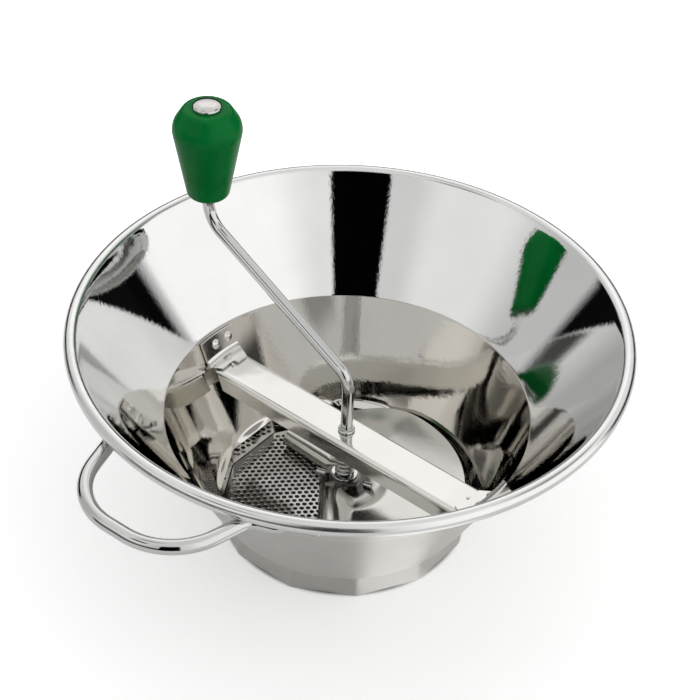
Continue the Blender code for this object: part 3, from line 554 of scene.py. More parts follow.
def sweep(path, sections, ups, sides):
    """A tube through the path. Each section is half its height, half its
    width and a power, 1 for an ellipse and less for a flatter outline."""
    bm = bmesh.new()
    rings = []
    for index, point in enumerate(path):
        before, after = path[max(index - 1, 0)], path[min(index + 1, len(path) - 1)]
        along = (after - before).normalized()
        up = (ups[index] - along * ups[index].dot(along)).normalized()
        across = along.cross(up)
        tall, wide, power = sections[index]
        ring = []
        for side in range(sides):
            rise, run = math.sin(FULL_TURN * side / sides), math.cos(FULL_TURN * side / sides)
            ring.append(bm.verts.new(point + up * (tall * math.copysign(abs(rise) ** power, rise))
                                     + across * (wide * math.copysign(abs(run) ** power, run))))
        rings.append(ring)
    for lower, upper in zip(rings, rings[1:]):
        ribbon(bm, lower, upper)
    bm.faces.new(rings[0])
    bm.faces.new(rings[-1])
    return bm


def skin(columns):
    """Faces between columns of points that all have the same length."""
    bm = bmesh.new()
    grid = [[bm.verts.new(point) for point in column] for column in columns]
    for left, right in zip(grid, grid[1:]):
        ribbon(bm, left, right, closed=False)
    return bm


def modify(piece, name, kind, **settings):
    modifier = piece.modifiers.new(name, kind)
    for key, value in settings.items():
        setattr(modifier, key, value)


def bevel(piece, degrees, width=EDGE_ROUND, segments=3):
    modify(piece, "edge", "BEVEL", width=width, segments=segments, limit_method="ANGLE",
           angle_limit=math.radians(degrees), harden_normals=True)


def pierce(piece, name, radius, length, rotation, place):
    """A round hole, cut by a rod that isn't part of the scene."""
    bm = bmesh.new()
    bmesh.ops.create_cone(bm, cap_ends=True, segments=48, radius1=radius, radius2=radius, depth=length)
    mesh = bpy.data.meshes.new(name)
    bm.to_mesh(mesh)
    bm.free()
    rod = bpy.data.objects.new(name, mesh)
    rod.rotation_euler = rotation
    rod.location = place
    modify(piece, name, "BOOLEAN", operation="DIFFERENCE", solver="EXACT", object=rod)


def solidify(piece, thickness):
    modify(piece, "sheet", "SOLIDIFY", thickness=thickness, offset=0, use_even_offset=True)


# Bowl

BEAD_CENTRE = Vector((RIM_RADIUS - BEAD_RADIUS, RIM_HEIGHT - BEAD_RADIUS))
BEAD_MIDDLE = BEAD_RADIUS - SHEET / 2
FLARE_WIDTH = CREASE_RADIUS - BAND_RADIUS
FLARE_HEIGHT = CREASE_HEIGHT - BAND_HEIGHT
CREASE = Vector((CREASE_RADIUS, CREASE_HEIGHT))
CONE_SPAN = BEAD_CENTRE - CREASE
CONE_ANGLE = math.atan2(CONE_SPAN.y, CONE_SPAN.x) + math.asin(BEAD_MIDDLE / CONE_SPAN.length)
CONE_ALONG = Vector((math.cos(CONE_ANGLE), math.sin(CONE_ANGLE)))
CONE_OUTWARD = Vector((CONE_ALONG.y, -CONE_ALONG.x))


def wall_slope(height):
    if height > CREASE_HEIGHT:
        return 1 / math.tan(CONE_ANGLE)
    share = clamp((height - BAND_HEIGHT) / FLARE_HEIGHT)
    return FLARE_SLOPE_SHARE + 2 * (FLARE_WIDTH / FLARE_HEIGHT - FLARE_SLOPE_SHARE) * share


def wall_radius(height):
    if height > CREASE_HEIGHT:
        return CREASE_RADIUS + (height - CREASE_HEIGHT) * wall_slope(height)
    up = height - BAND_HEIGHT
    bend = (FLARE_WIDTH - FLARE_SLOPE_SHARE * FLARE_HEIGHT) * (up / FLARE_HEIGHT) ** 2
    return BAND_RADIUS + FLARE_SLOPE_SHARE * up + bend


def wall_inside(height, depth=SHEET / 2):
    return wall_radius(height) - depth * math.hypot(1, wall_slope(height))


def band_share(azimuth):
    """The twelve sided band's radius as a share of the round wall's, with
    its corners rounded a little."""
    half_side = math.pi / BAND_SIDES
    aside = abs(azimuth % (2 * half_side) - half_side)
    side = BAND_RADIUS * math.cos(half_side)
    middle = (side - BAND_ROUND) / math.cos(half_side)
    if aside < math.atan2(middle * math.sin(half_side), side):
        return side / math.cos(aside) / BAND_RADIUS
    from_corner = half_side - aside
    reach = math.sqrt(BAND_ROUND ** 2 - (middle * math.sin(from_corner)) ** 2)
    return (middle * math.cos(from_corner) + reach) / BAND_RADIUS


def make_bowl(inside, lower, outside, bead):
    ledge_steps, wall_steps, cone_steps, curl_steps = 4, 26, 24, 26
    ledge_top = BAND_HEIGHT + LEDGE_HEIGHT
    heights = spread(BAND_HEIGHT, ledge_top, ledge_steps)[1:-1]
    heights += spread(ledge_top, CREASE_HEIGHT, wall_steps)[:-1]
    corners = [Vector((BAND_RADIUS - LIP_WIDTH, SHEET / 2)), Vector((BAND_RADIUS, SHEET / 2)),
               Vector((BAND_RADIUS, BAND_HEIGHT))]
    corners += [Vector((wall_radius(height), height)) for height in heights]
    corners.append(CREASE)
    curl_angle = CONE_ANGLE + QUARTER_TURN
    curl = [BEAD_CENTRE + polar(BEAD_MIDDLE, curl_angle - CURL_TURN * share).xy
            for share in shares(curl_steps)]
    corners.append(curl[0])
    fillets = [BASE_FILLET] + [0] * (len(heights) + 1) + [CREASE_FILLET]
    path = fillet_path(corners, fillets, 6)
    top, foot = path.pop(), path.pop()
    path += [foot.lerp(top, share) + CONE_OUTWARD * (4 * CONE_BULGE * share * (1 - share))
             for share in shares(cone_steps)]
    path += curl[1:]
    inner, outer = offset_path(path, SHEET / 2), offset_path(path, -SHEET / 2)
    crease = max(index for index, point in enumerate(path) if point.y < CREASE_HEIGHT)
    slots = [1 if index < crease else 3 if index >= len(path) - 1 - curl_steps else 0
             for index in range(len(path) - 1)] + [3]
    slots += [3 if index < curl_steps else 2 for index in range(len(path) - 1)] + [2]
    bm = lathe(inner + outer[::-1], BOWL_SEGMENTS, slots)
    for vert in bm.verts:
        share = 1 - smooth_share(vert.co.z, BAND_HEIGHT, ledge_top)
        if share > 0:
            vert.co.xy *= lerp(1, band_share(azimuth_of(vert.co)), share)
    piece = finish_mesh("bowl_spun", bm, [inside, lower, outside, bead], math.radians(22))
    settle(piece, "basin", "bowl", "polished_steel")


# Sieve

def make_sieve(material):
    """The perforated plate with its small holes, each with a chamfer."""
    corner_radius = BAND_RADIUS - SHEET / 2 - SIEVE_FIT
    half_side = math.pi / BAND_SIDES
    field = corner_radius * math.cos(half_side) - SIEVE_EDGE
    row_step = SIEVE_PITCH * math.sqrt(3) / 2
    rows = int(field / row_step) + 1
    centres = []
    for row in range(-rows, rows + 1):
        for column in range(-rows - 2, rows + 3):
            centre = Vector(((column + 0.5 * (row % 2)) * SIEVE_PITCH, row * row_step))
            aside = azimuth_of(centre) % (2 * half_side) - half_side
            if PILOT_RADIUS + SIEVE_MIDDLE_EDGE < centre.length and centre.length * math.cos(aside) < field:
                centres.append(centre)
    middle = Vector((0, 0))
    holes = [(centre, SIEVE_HOLE_RADIUS) for centre in centres] + [(middle, PILOT_RADIUS + SIEVE_MIDDLE_FIT)]
    loops = [(middle, corner_radius, BAND_SIDES)]
    loops += [(centre, radius + SIEVE_CHAMFER, SIEVE_HOLE_SIDES) for centre, radius in holes]
    points, edges = [], []
    for centre, radius, sides in loops:
        edges += [(len(points) + side, len(points) + (side + 1) % sides) for side in range(sides)]
        points += [centre + spot.xy for spot in circle(radius, sides)]
    flat, _, faces, origins, *_ = delaunay_2d_cdt(points, edges, [], 1, HOLE_WELD_REACH)
    hole_of = [(origin[0] - BAND_SIDES) // SIEVE_HOLE_SIDES if origin and origin[0] >= BAND_SIDES else -1
               for origin in origins]
    bm = bmesh.new()
    upper = [bm.verts.new((point.x, point.y, SIEVE_TOP)) for point in flat]
    lower = [bm.verts.new((point.x, point.y, SIEVE_BASE)) for point in flat]
    for face in faces:
        around = {hole_of[corner] for corner in face}
        if len(around) == 1 and -1 not in around:
            continue
        bm.faces.new([upper[corner] for corner in face])
        bm.faces.new([lower[corner] for corner in reversed(face)])
    place = {origin[0]: index for index, origin in enumerate(origins) if origin}
    rim = [place[side] for side in range(BAND_SIDES)]
    ribbon(bm, [lower[index] for index in rim], [upper[index] for index in rim])
    for number, (centre, radius) in enumerate(holes):
        first = BAND_SIDES + number * SIEVE_HOLE_SIDES
        loop = [place[first + side] for side in range(SIEVE_HOLE_SIDES)]
        throat = [[bm.verts.new((*(centre + spot.xy), height)) for spot in circle(radius, SIEVE_HOLE_SIDES)]
                  for height in (SIEVE_TOP - SIEVE_CHAMFER, SIEVE_BASE + SIEVE_CHAMFER)]
        rings = [[upper[index] for index in loop], *throat, [lower[index] for index in loop]]
        for high, low in zip(rings, rings[1:]):
            ribbon(bm, high, low)
    piece = finish_mesh("sieve_fine", bm, [material], math.radians(30))
    settle(piece, "basin", "sieve", "polished_steel")


# Handle

def handle_seat(half_thickness, half_width):
    """The section's centre where it lies against the cone, under the rim."""
    from_cone = SHEET / 2 + HANDLE_FIT + half_thickness
    below_bead = BEAD_RADIUS + HANDLE_FIT + half_width
    return BEAD_CENTRE + CONE_OUTWARD * (from_cone - BEAD_MIDDLE) - CONE_ALONG * below_bead


def make_handle(material):
    """A bent rod. Past each root it runs straight on under the rim and is
    pressed flat, with rounded corners at the tip."""
    round_seat = handle_seat(HANDLE_RADIUS, HANDLE_RADIUS)
    level = round_seat.y
    leave = HANDLE_ROOT_ANGLE + HANDLE_ROOT_RUN
    tip = [HANDLE_END_ANGLE - HANDLE_TIP_SPAN * share for share in (0, 0.05, 0.2, 0.45, 0.8)]
    half = []
    for angle in tip + spread(HANDLE_END_ANGLE - HANDLE_TIP_SPAN, leave, 40):
        flat = smooth_share(angle, leave, HANDLE_END_ANGLE - HANDLE_FLAT_SPAN)
        thin = lerp(HANDLE_RADIUS, HANDLE_FLAT_HALF_THICKNESS, flat)
        wide = lerp(HANDLE_RADIUS, HANDLE_FLAT_HALF_WIDTH, flat)
        seat = handle_seat(thin, wide)
        seat += CONE_OUTWARD * (seat.x / CONE_OUTWARD.x * (1 / math.cos(angle - leave) - 1))
        along = Vector((CONE_ALONG.x * math.cos(angle), CONE_ALONG.x * math.sin(angle), CONE_ALONG.y))
        inset = max(1 - (HANDLE_END_ANGLE - angle) / HANDLE_TIP_SPAN, 0)
        corner = lerp(HANDLE_TIP_WIDTH_SHARE, 1, math.sqrt(1 - inset * inset))
        edge = lerp(HANDLE_TIP_THICKNESS_SHARE, 1, math.sqrt(1 - inset ** 6))
        section = (wide * corner, thin * edge, lerp(1, HANDLE_FLAT_POWER, flat))
        half.append((polar(seat.x, angle, seat.y), section, along.lerp(UP, 1 - flat)))
    root = polar(round_seat.x, HANDLE_ROOT_ANGLE, level)
    shoulder = Vector((HANDLE_REACH, HANDLE_SHOULDER_HALF_WIDTH, level))
    corners = [half[-1][0], root, shoulder]
    loop = fillet_path(corners + [mirror(corner) for corner in reversed(corners)],
                       [HANDLE_ROOT_BEND, HANDLE_GRIP_BEND, HANDLE_GRIP_BEND, HANDLE_ROOT_BEND], 28)
    stations = half + [(point, (HANDLE_RADIUS, HANDLE_RADIUS, 1), UP) for point in loop[1:-1]]
    stations += [(mirror(point), section, mirror(up)) for point, section, up in reversed(half)]
    piece = finish_mesh("handle_bent", sweep(*zip(*stations), 40), [material],
                        place=Matrix.Rotation(HANDLE_AZIMUTH, 4, "Z"))
    settle(piece, "basin", "handle_loop", "steel")


# Brackets

def make_bracket(label, azimuth, material):
    """A strip down the wall that turns in over the bar's end. Part of its
    lip is cut back, which leaves a stop for the bar's pip."""
    plate_depth = SHEET / 2 + BRACKET_FIT + BRACKET_SHEET / 2
    root = wall_inside(LIP_HEIGHT, plate_depth)
    plate_foot = LIP_HEIGHT + BRACKET_BEND
    plate_rows, bend_rows, lip_rows, side_columns = 14, 8, 6, 14
    columns = []
    for side in (spread(-1, BRACKET_STEP_SHARE, side_columns)
                 + spread(BRACKET_STEP_SHARE + BRACKET_STEP_WIDTH_SHARE, 1, side_columns)):
        across = side * BRACKET_HALF_WIDTH
        column = [(math.sqrt(wall_inside(height, plate_depth) ** 2 - across ** 2), across, height)
                  for height in spread(LIP_HEIGHT + BRACKET_RISE, plate_foot, plate_rows)[:-1]]
        edge = math.sqrt(root ** 2 - across ** 2) - BRACKET_BEND
        column += [(edge + BRACKET_BEND * cosine, across, plate_foot - BRACKET_BEND * sine)
                   for sine, cosine in quarter(bend_rows)]
        reach = root - BRACKET_LIP_REACH + (BRACKET_STEP if side > BRACKET_STEP_SHARE else 0)
        column += [(lerp(edge, reach, run), lerp(across, side * BRACKET_TIP_HALF_WIDTH, run), LIP_HEIGHT)
                   for run in shares(lip_rows, 1)]
        columns.append(column)
    piece = finish_mesh("bracket_pressed_" + label, skin(columns), [material], math.radians(60),
                        Matrix.Rotation(azimuth, 4, "Z"))
    solidify(piece, BRACKET_SHEET)
    bevel(piece, 50)
    settle(piece, "basin", "bracket_" + label, "polished_steel")


def make_rivet(label, number, azimuth, across, material):
    """A low dome whose foot runs out flat into the bracket."""
    height = LIP_HEIGHT + RIVET_RISE
    radius = wall_inside(height, SHEET / 2 + BRACKET_FIT + BRACKET_SHEET + SEAT_GAP)
    outline = [(0, -SEAT_GAP), (RIVET_RADIUS, -SEAT_GAP)]
    outline += [(RIVET_RADIUS * (1 - share), RIVET_HEIGHT * (1 - (1 - share) ** 2) ** 1.5)
                for share in shares(16)[:-1]]
    outline.append((0, RIVET_HEIGHT))
    lean = math.atan(wall_slope(height))
    turn = Vector((-math.cos(lean), 0, math.sin(lean))).to_track_quat("Z", "Y").to_matrix().to_4x4()
    place = (Matrix.Rotation(azimuth + math.asin(across / radius), 4, "Z")
             @ Matrix.Translation((radius, 0, height)) @ turn)
    ending = "%s_%d" % (label, number)
    settle_lathe("rivet_domed_" + ending, outline, 48, material, place,
                 "basin", "rivet_" + ending, "polished_steel")


# Crossbar

def make_crossbar(material):
    """A channel pressed from sheet. Its flanges are cut away near the ends
    and leave a flat tongue with cut corners."""
    middle = BAR_SHEET / 2
    flat = BAR_HALF_WIDTH - middle - BAR_CORNER
    arc = BAR_CORNER * QUARTER_TURN
    reach = math.sqrt((wall_inside(BAR_TOP_HEIGHT - BAR_SHEET) - BAR_END_GAP) ** 2 - BAR_HALF_WIDTH ** 2)
    flange_foot = reach - TONGUE_LENGTH - FLANGE_SLANT

    def section(run):
        """A point of the section, a distance along it from its middle."""
        if run <= flat:
            return run, -middle
        turn = min((run - flat) / BAR_CORNER, QUARTER_TURN)
        down = max(run - flat - arc, 0)
        return flat + BAR_CORNER * math.sin(turn), -middle - BAR_CORNER * (1 - math.cos(turn)) - down

    def longest(x):
        """How far along the section the sheet goes there."""
        drop = lerp(BAR_DEPTH, BAR_SHEET + SEAT_GAP, clamp((x - flange_foot) / FLANGE_SLANT)) - middle
        run = flat + arc + drop - BAR_CORNER
        if drop < BAR_CORNER:
            run = flat + BAR_CORNER * math.acos(1 - drop / BAR_CORNER)
        width = BAR_HALF_WIDTH - max(x - reach + TONGUE_CORNER, 0)
        if width < flat:
            return min(run, width)
        if width < flat + BAR_CORNER:
            return min(run, flat + BAR_CORNER * math.asin((width - flat) / BAR_CORNER))
        return run

    runs = [flat * share for share in shares(5)] + [flat + arc * share for share in shares(8, 1)]
    runs += [flat + arc + (BAR_DEPTH - middle - BAR_CORNER) * share for share in shares(6, 1)]
    end_count = int((reach - flange_foot) / BAR_END_STATION) + 1
    stations = [BAR_STATION * step for step in range(8)]
    stations += [flange_foot + BAR_END_STATION * step for step in range(end_count)] + [reach]
    columns = []
    for x in [-x for x in reversed(stations[1:])] + stations:
        points = [(run, *section(min(abs(run), longest(abs(x)))))
                  for run in [-run for run in reversed(runs[1:])] + runs]
        columns.append([(x, math.copysign(y, run), z) for run, y, z in points])
    bm = skin(columns)
    bmesh.ops.dissolve_degenerate(bm, dist=WELD_REACH, edges=bm.edges)
    bmesh.ops.remove_doubles(bm, verts=bm.verts, dist=WELD_REACH)
    along_bar = Matrix.Rotation(BAR_AZIMUTH, 4, "Z") @ Matrix.Translation((0, 0, BAR_TOP_HEIGHT))
    piece = finish_mesh("crossbar_pressed", bm, [material], math.radians(50), along_bar)
    solidify(piece, BAR_SHEET)
    pierce(piece, "bar_bore_fine", ROD_RADIUS + SHAFT_FIT, 2 * BAR_DEPTH, (0, 0, 0), (0, 0, BAR_TOP_HEIGHT))
    bevel(piece, 50)
    settle(piece, "bridge", "crossbar", "polished_steel")
    lip_tip = wall_inside(LIP_HEIGHT, SHEET / 2 + BRACKET_FIT + BRACKET_SHEET / 2) - BRACKET_LIP_REACH
    spot = Vector((lip_tip + SEAT_GAP + PIP_RADIUS, PIP_RADIUS + SEAT_GAP, 0))
    outline = [(0, -PIP_ROOT), (PIP_RADIUS, -PIP_ROOT), (PIP_RADIUS, 0)]
    outline += [(PIP_RADIUS * lerp(1, cosine, PIP_ROUND_SHARE), PIP_HEIGHT * lerp(1, sine, PIP_CROWN_SHARE))
                for sine, cosine in quarter(10)]
    outline.append((0, PIP_HEIGHT))
    for side, label in ((1, "a"), (-1, "b")):
        settle_lathe("pip_raised_" + label, outline, 32, material, along_bar @ Matrix.Translation(side * spot),
                     "bridge", "crossbar", "polished_steel")


# Blade

ROLL_CENTRE_HEIGHT = SIEVE_TOP + BLADE_SIEVE_GAP + ROLL_RADIUS
ROLL_MIDDLE = ROLL_RADIUS - BLADE_SHEET / 2


def plate_height(azimuth, radius):
    """The blade's flat part and its ramp down to the roll."""
    height = lerp(BLADE_HEIGHT, ROLL_CENTRE_HEIGHT + ROLL_MIDDLE, smooth_share(azimuth, RAMP_START, RAMP_END))
    return lerp(BLADE_ROOT_HEIGHT, height, smooth_share(radius, BLADE_ROOT_RADIUS, 2 * HUB_RADIUS))


def roll_point(along, share, opened):
    """A point on the rolled edge, whose share runs from the sheet's tucked
    end to the top."""
    angle = QUARTER_TURN + opened * (1 - share)
    place = polar(along, TRAIL_AZIMUTH) + polar(ROLL_OFFSET + ROLL_MIDDLE * math.cos(angle),
                                                TRAIL_AZIMUTH - QUARTER_TURN)
    place.z = ROLL_CENTRE_HEIGHT + ROLL_MIDDLE * math.sin(angle)
    return place


def ridge_height(share):
    """A steep outer flank, a rounded top and a long fall to the plate."""
    if share < RIDGE_CROWN_SHARE:
        climb = 1 - share / RIDGE_CROWN_SHARE
        return lerp(LEAD_EDGE_HEIGHT, RIDGE_HEIGHT, math.sqrt(1 - climb * climb))
    return lerp(RIDGE_HEIGHT, BLADE_HEIGHT, smooth_share(share, RIDGE_CROWN_SHARE, 1))


def roll_columns(count):
    columns = []
    for share in shares(count):
        hub_azimuth = TRAIL_AZIMUTH - lerp(ROLL_HUB_START, ROLL_HUB_END, share)
        column = [polar(HUB_RADIUS, hub_azimuth, lerp(HUB_SKIRT_HEIGHT, BLADE_ROOT_HEIGHT, share))]
        for out in shares(BLADE_ROWS):
            along = lerp(ROLL_START, TRAIL_LENGTH, out)
            opened = ROLL_TURN * lerp(0.5, 1, math.sin(QUARTER_TURN * min(2 * out, 1)))
            top = roll_point(along, 1, opened)
            lift = plate_height(azimuth_of(top), top.xy.length) - top.z
            column.append(roll_point(along, share, opened) + UP * lift)
        columns.append(column)
    return columns


def ridge_columns():
    along, side = polar(1, LEAD_AZIMUTH), polar(1, LEAD_AZIMUTH + QUARTER_TURN)
    steps = spread(1, RIDGE_CROWN_SHARE, 18)[:-1] + [RIDGE_CROWN_SHARE * (1 - sine) for sine, _ in quarter(14)]
    columns = []
    for share in steps:
        offset = lerp(-LEAD_OFFSET, RIDGE_WIDTH - LEAD_OFFSET, share)
        hub, root, rim = [math.sqrt(radius ** 2 - offset ** 2)
                          for radius in (HUB_RADIUS, BLADE_ROOT_RADIUS, BLADE_RADIUS)]
        column = []
        for distance in [hub] + spread(root, rim, BLADE_ROWS):
            place = along * distance + side * offset
            sunk = plate_height(LEAD_AZIMUTH, place.length) - BLADE_HEIGHT
            place.z = ridge_height(share) + sunk * smooth_share(share, RIDGE_CROWN_SHARE, 1)
            column.append(place)
        columns.append(column)
    return columns


def plate_columns(first, last, count):
    columns = []
    ends = [(line[0], line[1], line[-1]) for line in (first, last)]
    for share in shares(count, 1)[:-1]:
        hub, root, rim = [polar(lerp(near.xy.length, far.xy.length, share),
                                lerp(azimuth_of(near), azimuth_of(far), share)) for near, far in zip(*ends)]
        rim *= lerp(1, BLADE_RADIUS / rim.length, smooth_share(share, 0, RIM_GROWTH_SHARE))
        column = [hub + UP * BLADE_ROOT_HEIGHT]
        for place in (root.lerp(rim, out) for out in shares(BLADE_ROWS)):
            place.z = plate_height(azimuth_of(place), place.length)
            column.append(place)
        columns.append(column)
    return columns


def make_blade(material):
    """A dome round the shaft, then the roll, the plate and the ridge. The
    open quarter has the dome only."""
    rolled, ridge = roll_columns(25), ridge_columns()
    columns = rolled + plate_columns(rolled[-1], ridge[0], 90) + ridge
    blade_count = len(columns)
    open_count, dome_steps = 40, 24
    gap = spread(azimuth_of(ridge[-1][0]), azimuth_of(rolled[0][0]) - FULL_TURN, open_count)
    columns += [[polar(HUB_RADIUS, azimuth, HUB_SKIRT_HEIGHT)] for azimuth in gap[1:-1]]
    bm = bmesh.new()
    grid = []
    for edge, *blade in columns:
        places = []
        for out in shares(dome_steps):
            drop = max((out - HUB_CROWN_SHARE) / (1 - HUB_CROWN_SHARE), 0) ** 2
            places.append(polar(lerp(ROD_RADIUS + SEAT_GAP, HUB_RADIUS, out), azimuth_of(edge),
                                lerp(HUB_HEIGHT, edge.z, drop)))
        if blade:
            places += [edge.lerp(blade[0], share) for share in shares(4, 1)[:-1]] + blade
        grid.append([bm.verts.new(place) for place in places])
    for index, (verts, following) in enumerate(zip(grid, grid[1:] + grid[:1])):
        rows = len(verts) if index < blade_count - 1 else dome_steps + 1
        ribbon(bm, verts[:rows], following[:rows], closed=False)
    soft = [vert for vert in bm.verts
            if not vert.is_boundary and HUB_BLEND_START < vert.co.xy.length < HUB_BLEND_END]
    for _ in range(HUB_BLEND_PASSES):
        bmesh.ops.smooth_vert(bm, verts=soft, factor=0.5, use_axis_x=True, use_axis_y=True, use_axis_z=True)
    piece = finish_mesh("blade_stamped", bm, [material], math.radians(60))
    solidify(piece, BLADE_SHEET)
    pierce(piece, "hub_bore_fine", PIN_RADIUS + SEAT_GAP, 2 * HUB_RADIUS + PIN_HOLE_EXTRA,
           (QUARTER_TURN, 0, PIN_AZIMUTH + QUARTER_TURN), (0, 0, PIN_HEIGHT))
    bevel(piece, 55)
    settle(piece, "crank", "blade", "polished_steel")


def make_pin(material):
    """A split tube: a C in section, open along its top."""
    steps = 30
    angles = spread(QUARTER_TURN + PIN_HALF_GAP, QUARTER_TURN + FULL_TURN - PIN_HALF_GAP, steps)
    section = [(PIN_RADIUS, angle) for angle in angles] + [(PIN_BORE, angle) for angle in reversed(angles)]
    bm = bmesh.new()
    ends = [[bm.verts.new((x, *polar(radius, angle).xy)) for radius, angle in section]
            for x in (-PIN_HALF_LENGTH, PIN_HALF_LENGTH)]
    ribbon(bm, *ends)
    for end in ends:
        ribbon(bm, end[:steps + 1], end[:steps:-1], closed=False)
    place = Matrix.Rotation(PIN_AZIMUTH, 4, "Z") @ Matrix.Translation((0, 0, PIN_HEIGHT))
    piece = finish_mesh("pin_split", bm, [material], place=place)
    bevel(piece, 60, PIN_ROUND, 2)
    settle(piece, "crank", "drive_pin", "steel")


# Washers, collar and ring

def make_washer(node, body, chamfer, material):
    low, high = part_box(node)
    height, outer = high.z - low.z, (high.x - low.x) / 2
    inner = ROD_RADIUS + SEAT_GAP
    outline = [(inner, 0), (outer - chamfer, 0), (outer, chamfer), (outer, height - chamfer),
               (outer - chamfer, height), (inner + chamfer, height), (inner, height - chamfer)]
    place = Matrix.Translation(((low.x + high.x) / 2, (low.y + high.y) / 2, low.z))
    settle_lathe(node + "_turned", outline, 64, material, place, body, node, "steel")


def make_collar(material):
    """A collar with a waist that flares to its foot on the bar."""
    height, outer = COLLAR_HIGH.z - COLLAR_LOW.z, (COLLAR_HIGH.x - COLLAR_LOW.x) / 2
    inner = ROD_RADIUS + SEAT_GAP / 3
    outline = [(inner, 0), (outer - COLLAR_ROUND, 0), (outer, COLLAR_ROUND), (outer, COLLAR_FLARE)]
    outline += [(outer - COLLAR_FLARE * sine, lerp(height, COLLAR_FLARE, cosine))
                for sine, cosine in quarter(12, 1)]
    outline.append((inner, height))
    settle_lathe("collar_turned", outline, 64, material, Matrix.Translation((0, 0, COLLAR_LOW.z)),
                 "crank", "stop_collar", "steel")


# Crank and knob

def make_crank(material):
    across = polar(1, CRANK_AZIMUTH + QUARTER_TURN)
    top = (BUTTON_LOW.z + BUTTON_HIGH.z) / 2 - SEAT_GAP
    shoulder = PILOT_END_HEIGHT + PILOT_LENGTH
    corners = [Vector((0, 0, shoulder)), Vector((0, 0, ARM_LOW_CORNER_HEIGHT)),
               polar(ARM_REACH, CRANK_AZIMUTH, ARM_HIGH_CORNER_HEIGHT), polar(ARM_REACH, CRANK_AZIMUTH, top)]
    path = fillet_path(corners, [ARM_LOW_BEND, ARM_HIGH_BEND], 20)
    radii = [PILOT_RADIUS, PILOT_RADIUS] + [ROD_RADIUS] * len(path)
    path = [Vector((0, 0, PILOT_END_HEIGHT)), Vector((0, 0, shoulder))] + path
    bm = sweep(path, [(radius, radius, 1) for radius in radii], [across] * len(path), 40)
    settle(finish_mesh("crank_bent", bm, [material]), "crank", "crank_rod", "steel")


def make_knob(material):
    bore = ROD_RADIUS + KNOB_FIT
    length = KNOB_HIGH.z - KNOB_LOW.z
    corners = [Vector((bore, 0)), Vector((KNOB_BASE_RADIUS, 0)), Vector((KNOB_RADIUS, KNOB_WAIST_HEIGHT)),
               Vector((KNOB_TOP_RADIUS + KNOB_TOP_ROUND, length)), Vector((bore, length))]
    outline = fillet_path(corners, [KNOB_BASE_ROUND, KNOB_SHOULDER_ROUND, KNOB_TOP_ROUND], 16)
    settle_lathe("knob_moulded", outline, 96, material, Matrix.Translation((*KNOB_AXIS, KNOB_LOW.z)),
                 "grip", "knob", "green_plastic")


def make_button(material):
    bore, radius = ROD_RADIUS + SEAT_GAP, (BUTTON_HIGH.x - BUTTON_LOW.x) / 2
    height = BUTTON_HIGH.z - BUTTON_LOW.z
    outline = [(0, height / 2), (bore, height / 2), (bore, 0), (radius, 0)]
    outline += [(radius * cosine, lerp(BUTTON_EDGE, height, sine)) for sine, cosine in quarter(14)[:-1]]
    outline.append((0, height))
    settle_lathe("button_domed", outline, 72, material, Matrix.Translation((*KNOB_AXIS, BUTTON_LOW.z)),
                 "crank", "knob_button", "polished_steel")


# Spring

def make_spring(material):
    """A wound wire with closed ends, built at one length. In the mill it
    shortens towards the crossbar when the blade rises."""
    low, high = SPRING_LOW.z, SPRING_HIGH.z
    rise = high - low - 2 * SPRING_WIRE_RADIUS
    active_pitch = (rise - 2 * SPRING_END_PITCH) / (SPRING_TURNS - 2)
    count = int(SPRING_TURNS * 36)
    path = []
    for index in range(count + 1):
        turns = SPRING_TURNS * index / count
        height = (SPRING_END_PITCH * min(turns, 1)
                  + active_pitch * min(max(turns - 1, 0), SPRING_TURNS - 2)
                  + SPRING_END_PITCH * max(turns - SPRING_TURNS + 1, 0))
        path.append(polar(SPRING_RADIUS, FULL_TURN * turns, low + SPRING_WIRE_RADIUS + height))
    wire = (SPRING_WIRE_RADIUS, SPRING_WIRE_RADIUS, 1)
    bm = sweep(path, [wire] * len(path), [UP] * len(path), 16)
    piece = finish_mesh("spring_wound", bm, [material])
    settle(piece, "bridge", "spring", "steel")
    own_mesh(piece)


# Studio

# Panels round the mill, in degrees: azimuth, half width, soft edge, lowest
# and highest elevation, soft edge, and the share of light they add or take
SOFTBOXES = (
    (-30, 38, 12, -90, 60, 14, 0.27),
    (84, 20, 6, 28, 52, 4, 0.3),
)
FLAGS = (
    (-99, 13.5, 0.8, -90, 46.5, 1.5, -0.999),
    (78, 70, 3, -90, 15, 1, -0.995),
    (11, 6.5, 2.5, 10, 22.5, 1.5, -0.5),
    (-134, 46, 4, -90, 14, 2.5, -0.85),
    (-110, 20, 8, -90, 60, 10, -0.2),
    (158, 24, 14, -90, 50, 6, -0.35),
    (12, 24, 5, 42, 60, 2, -0.7),
    (-150, 14, 4, 42, 56, 3, -0.9),
    (145, 25, 8, 69, 82, 3, -0.5),
)

# How the light fades overhead
ZENITH_START = math.radians(46)
ZENITH_END = math.radians(76)
ZENITH_LEVEL = 0.9

# The floor, its paper, darkened under the foot as painted shade, and the radii over which it brightens to
# white
FLOOR_HALF = 0.7
FLOOR_ROUGHNESS = 0.9
PAPER_SHADE_UNDER_FOOT = 0.1
PAPER_OPEN = 0.9
GLOW_CLOSE = 0.35
WHITE_START = 0.3
WHITE_END = 0.6

# A glowing card on the floor, which only the steel shows: painted light, seen in reflections only
CARD_AZIMUTH = math.radians(-71)
CARD_HALF_WIDTH = math.radians(10)
CARD_SIDE_END = math.radians(20)
CARD_FADE_START = 0.2
CARD_FADE_END = 0.3
CARD_STRENGTH = 0.6


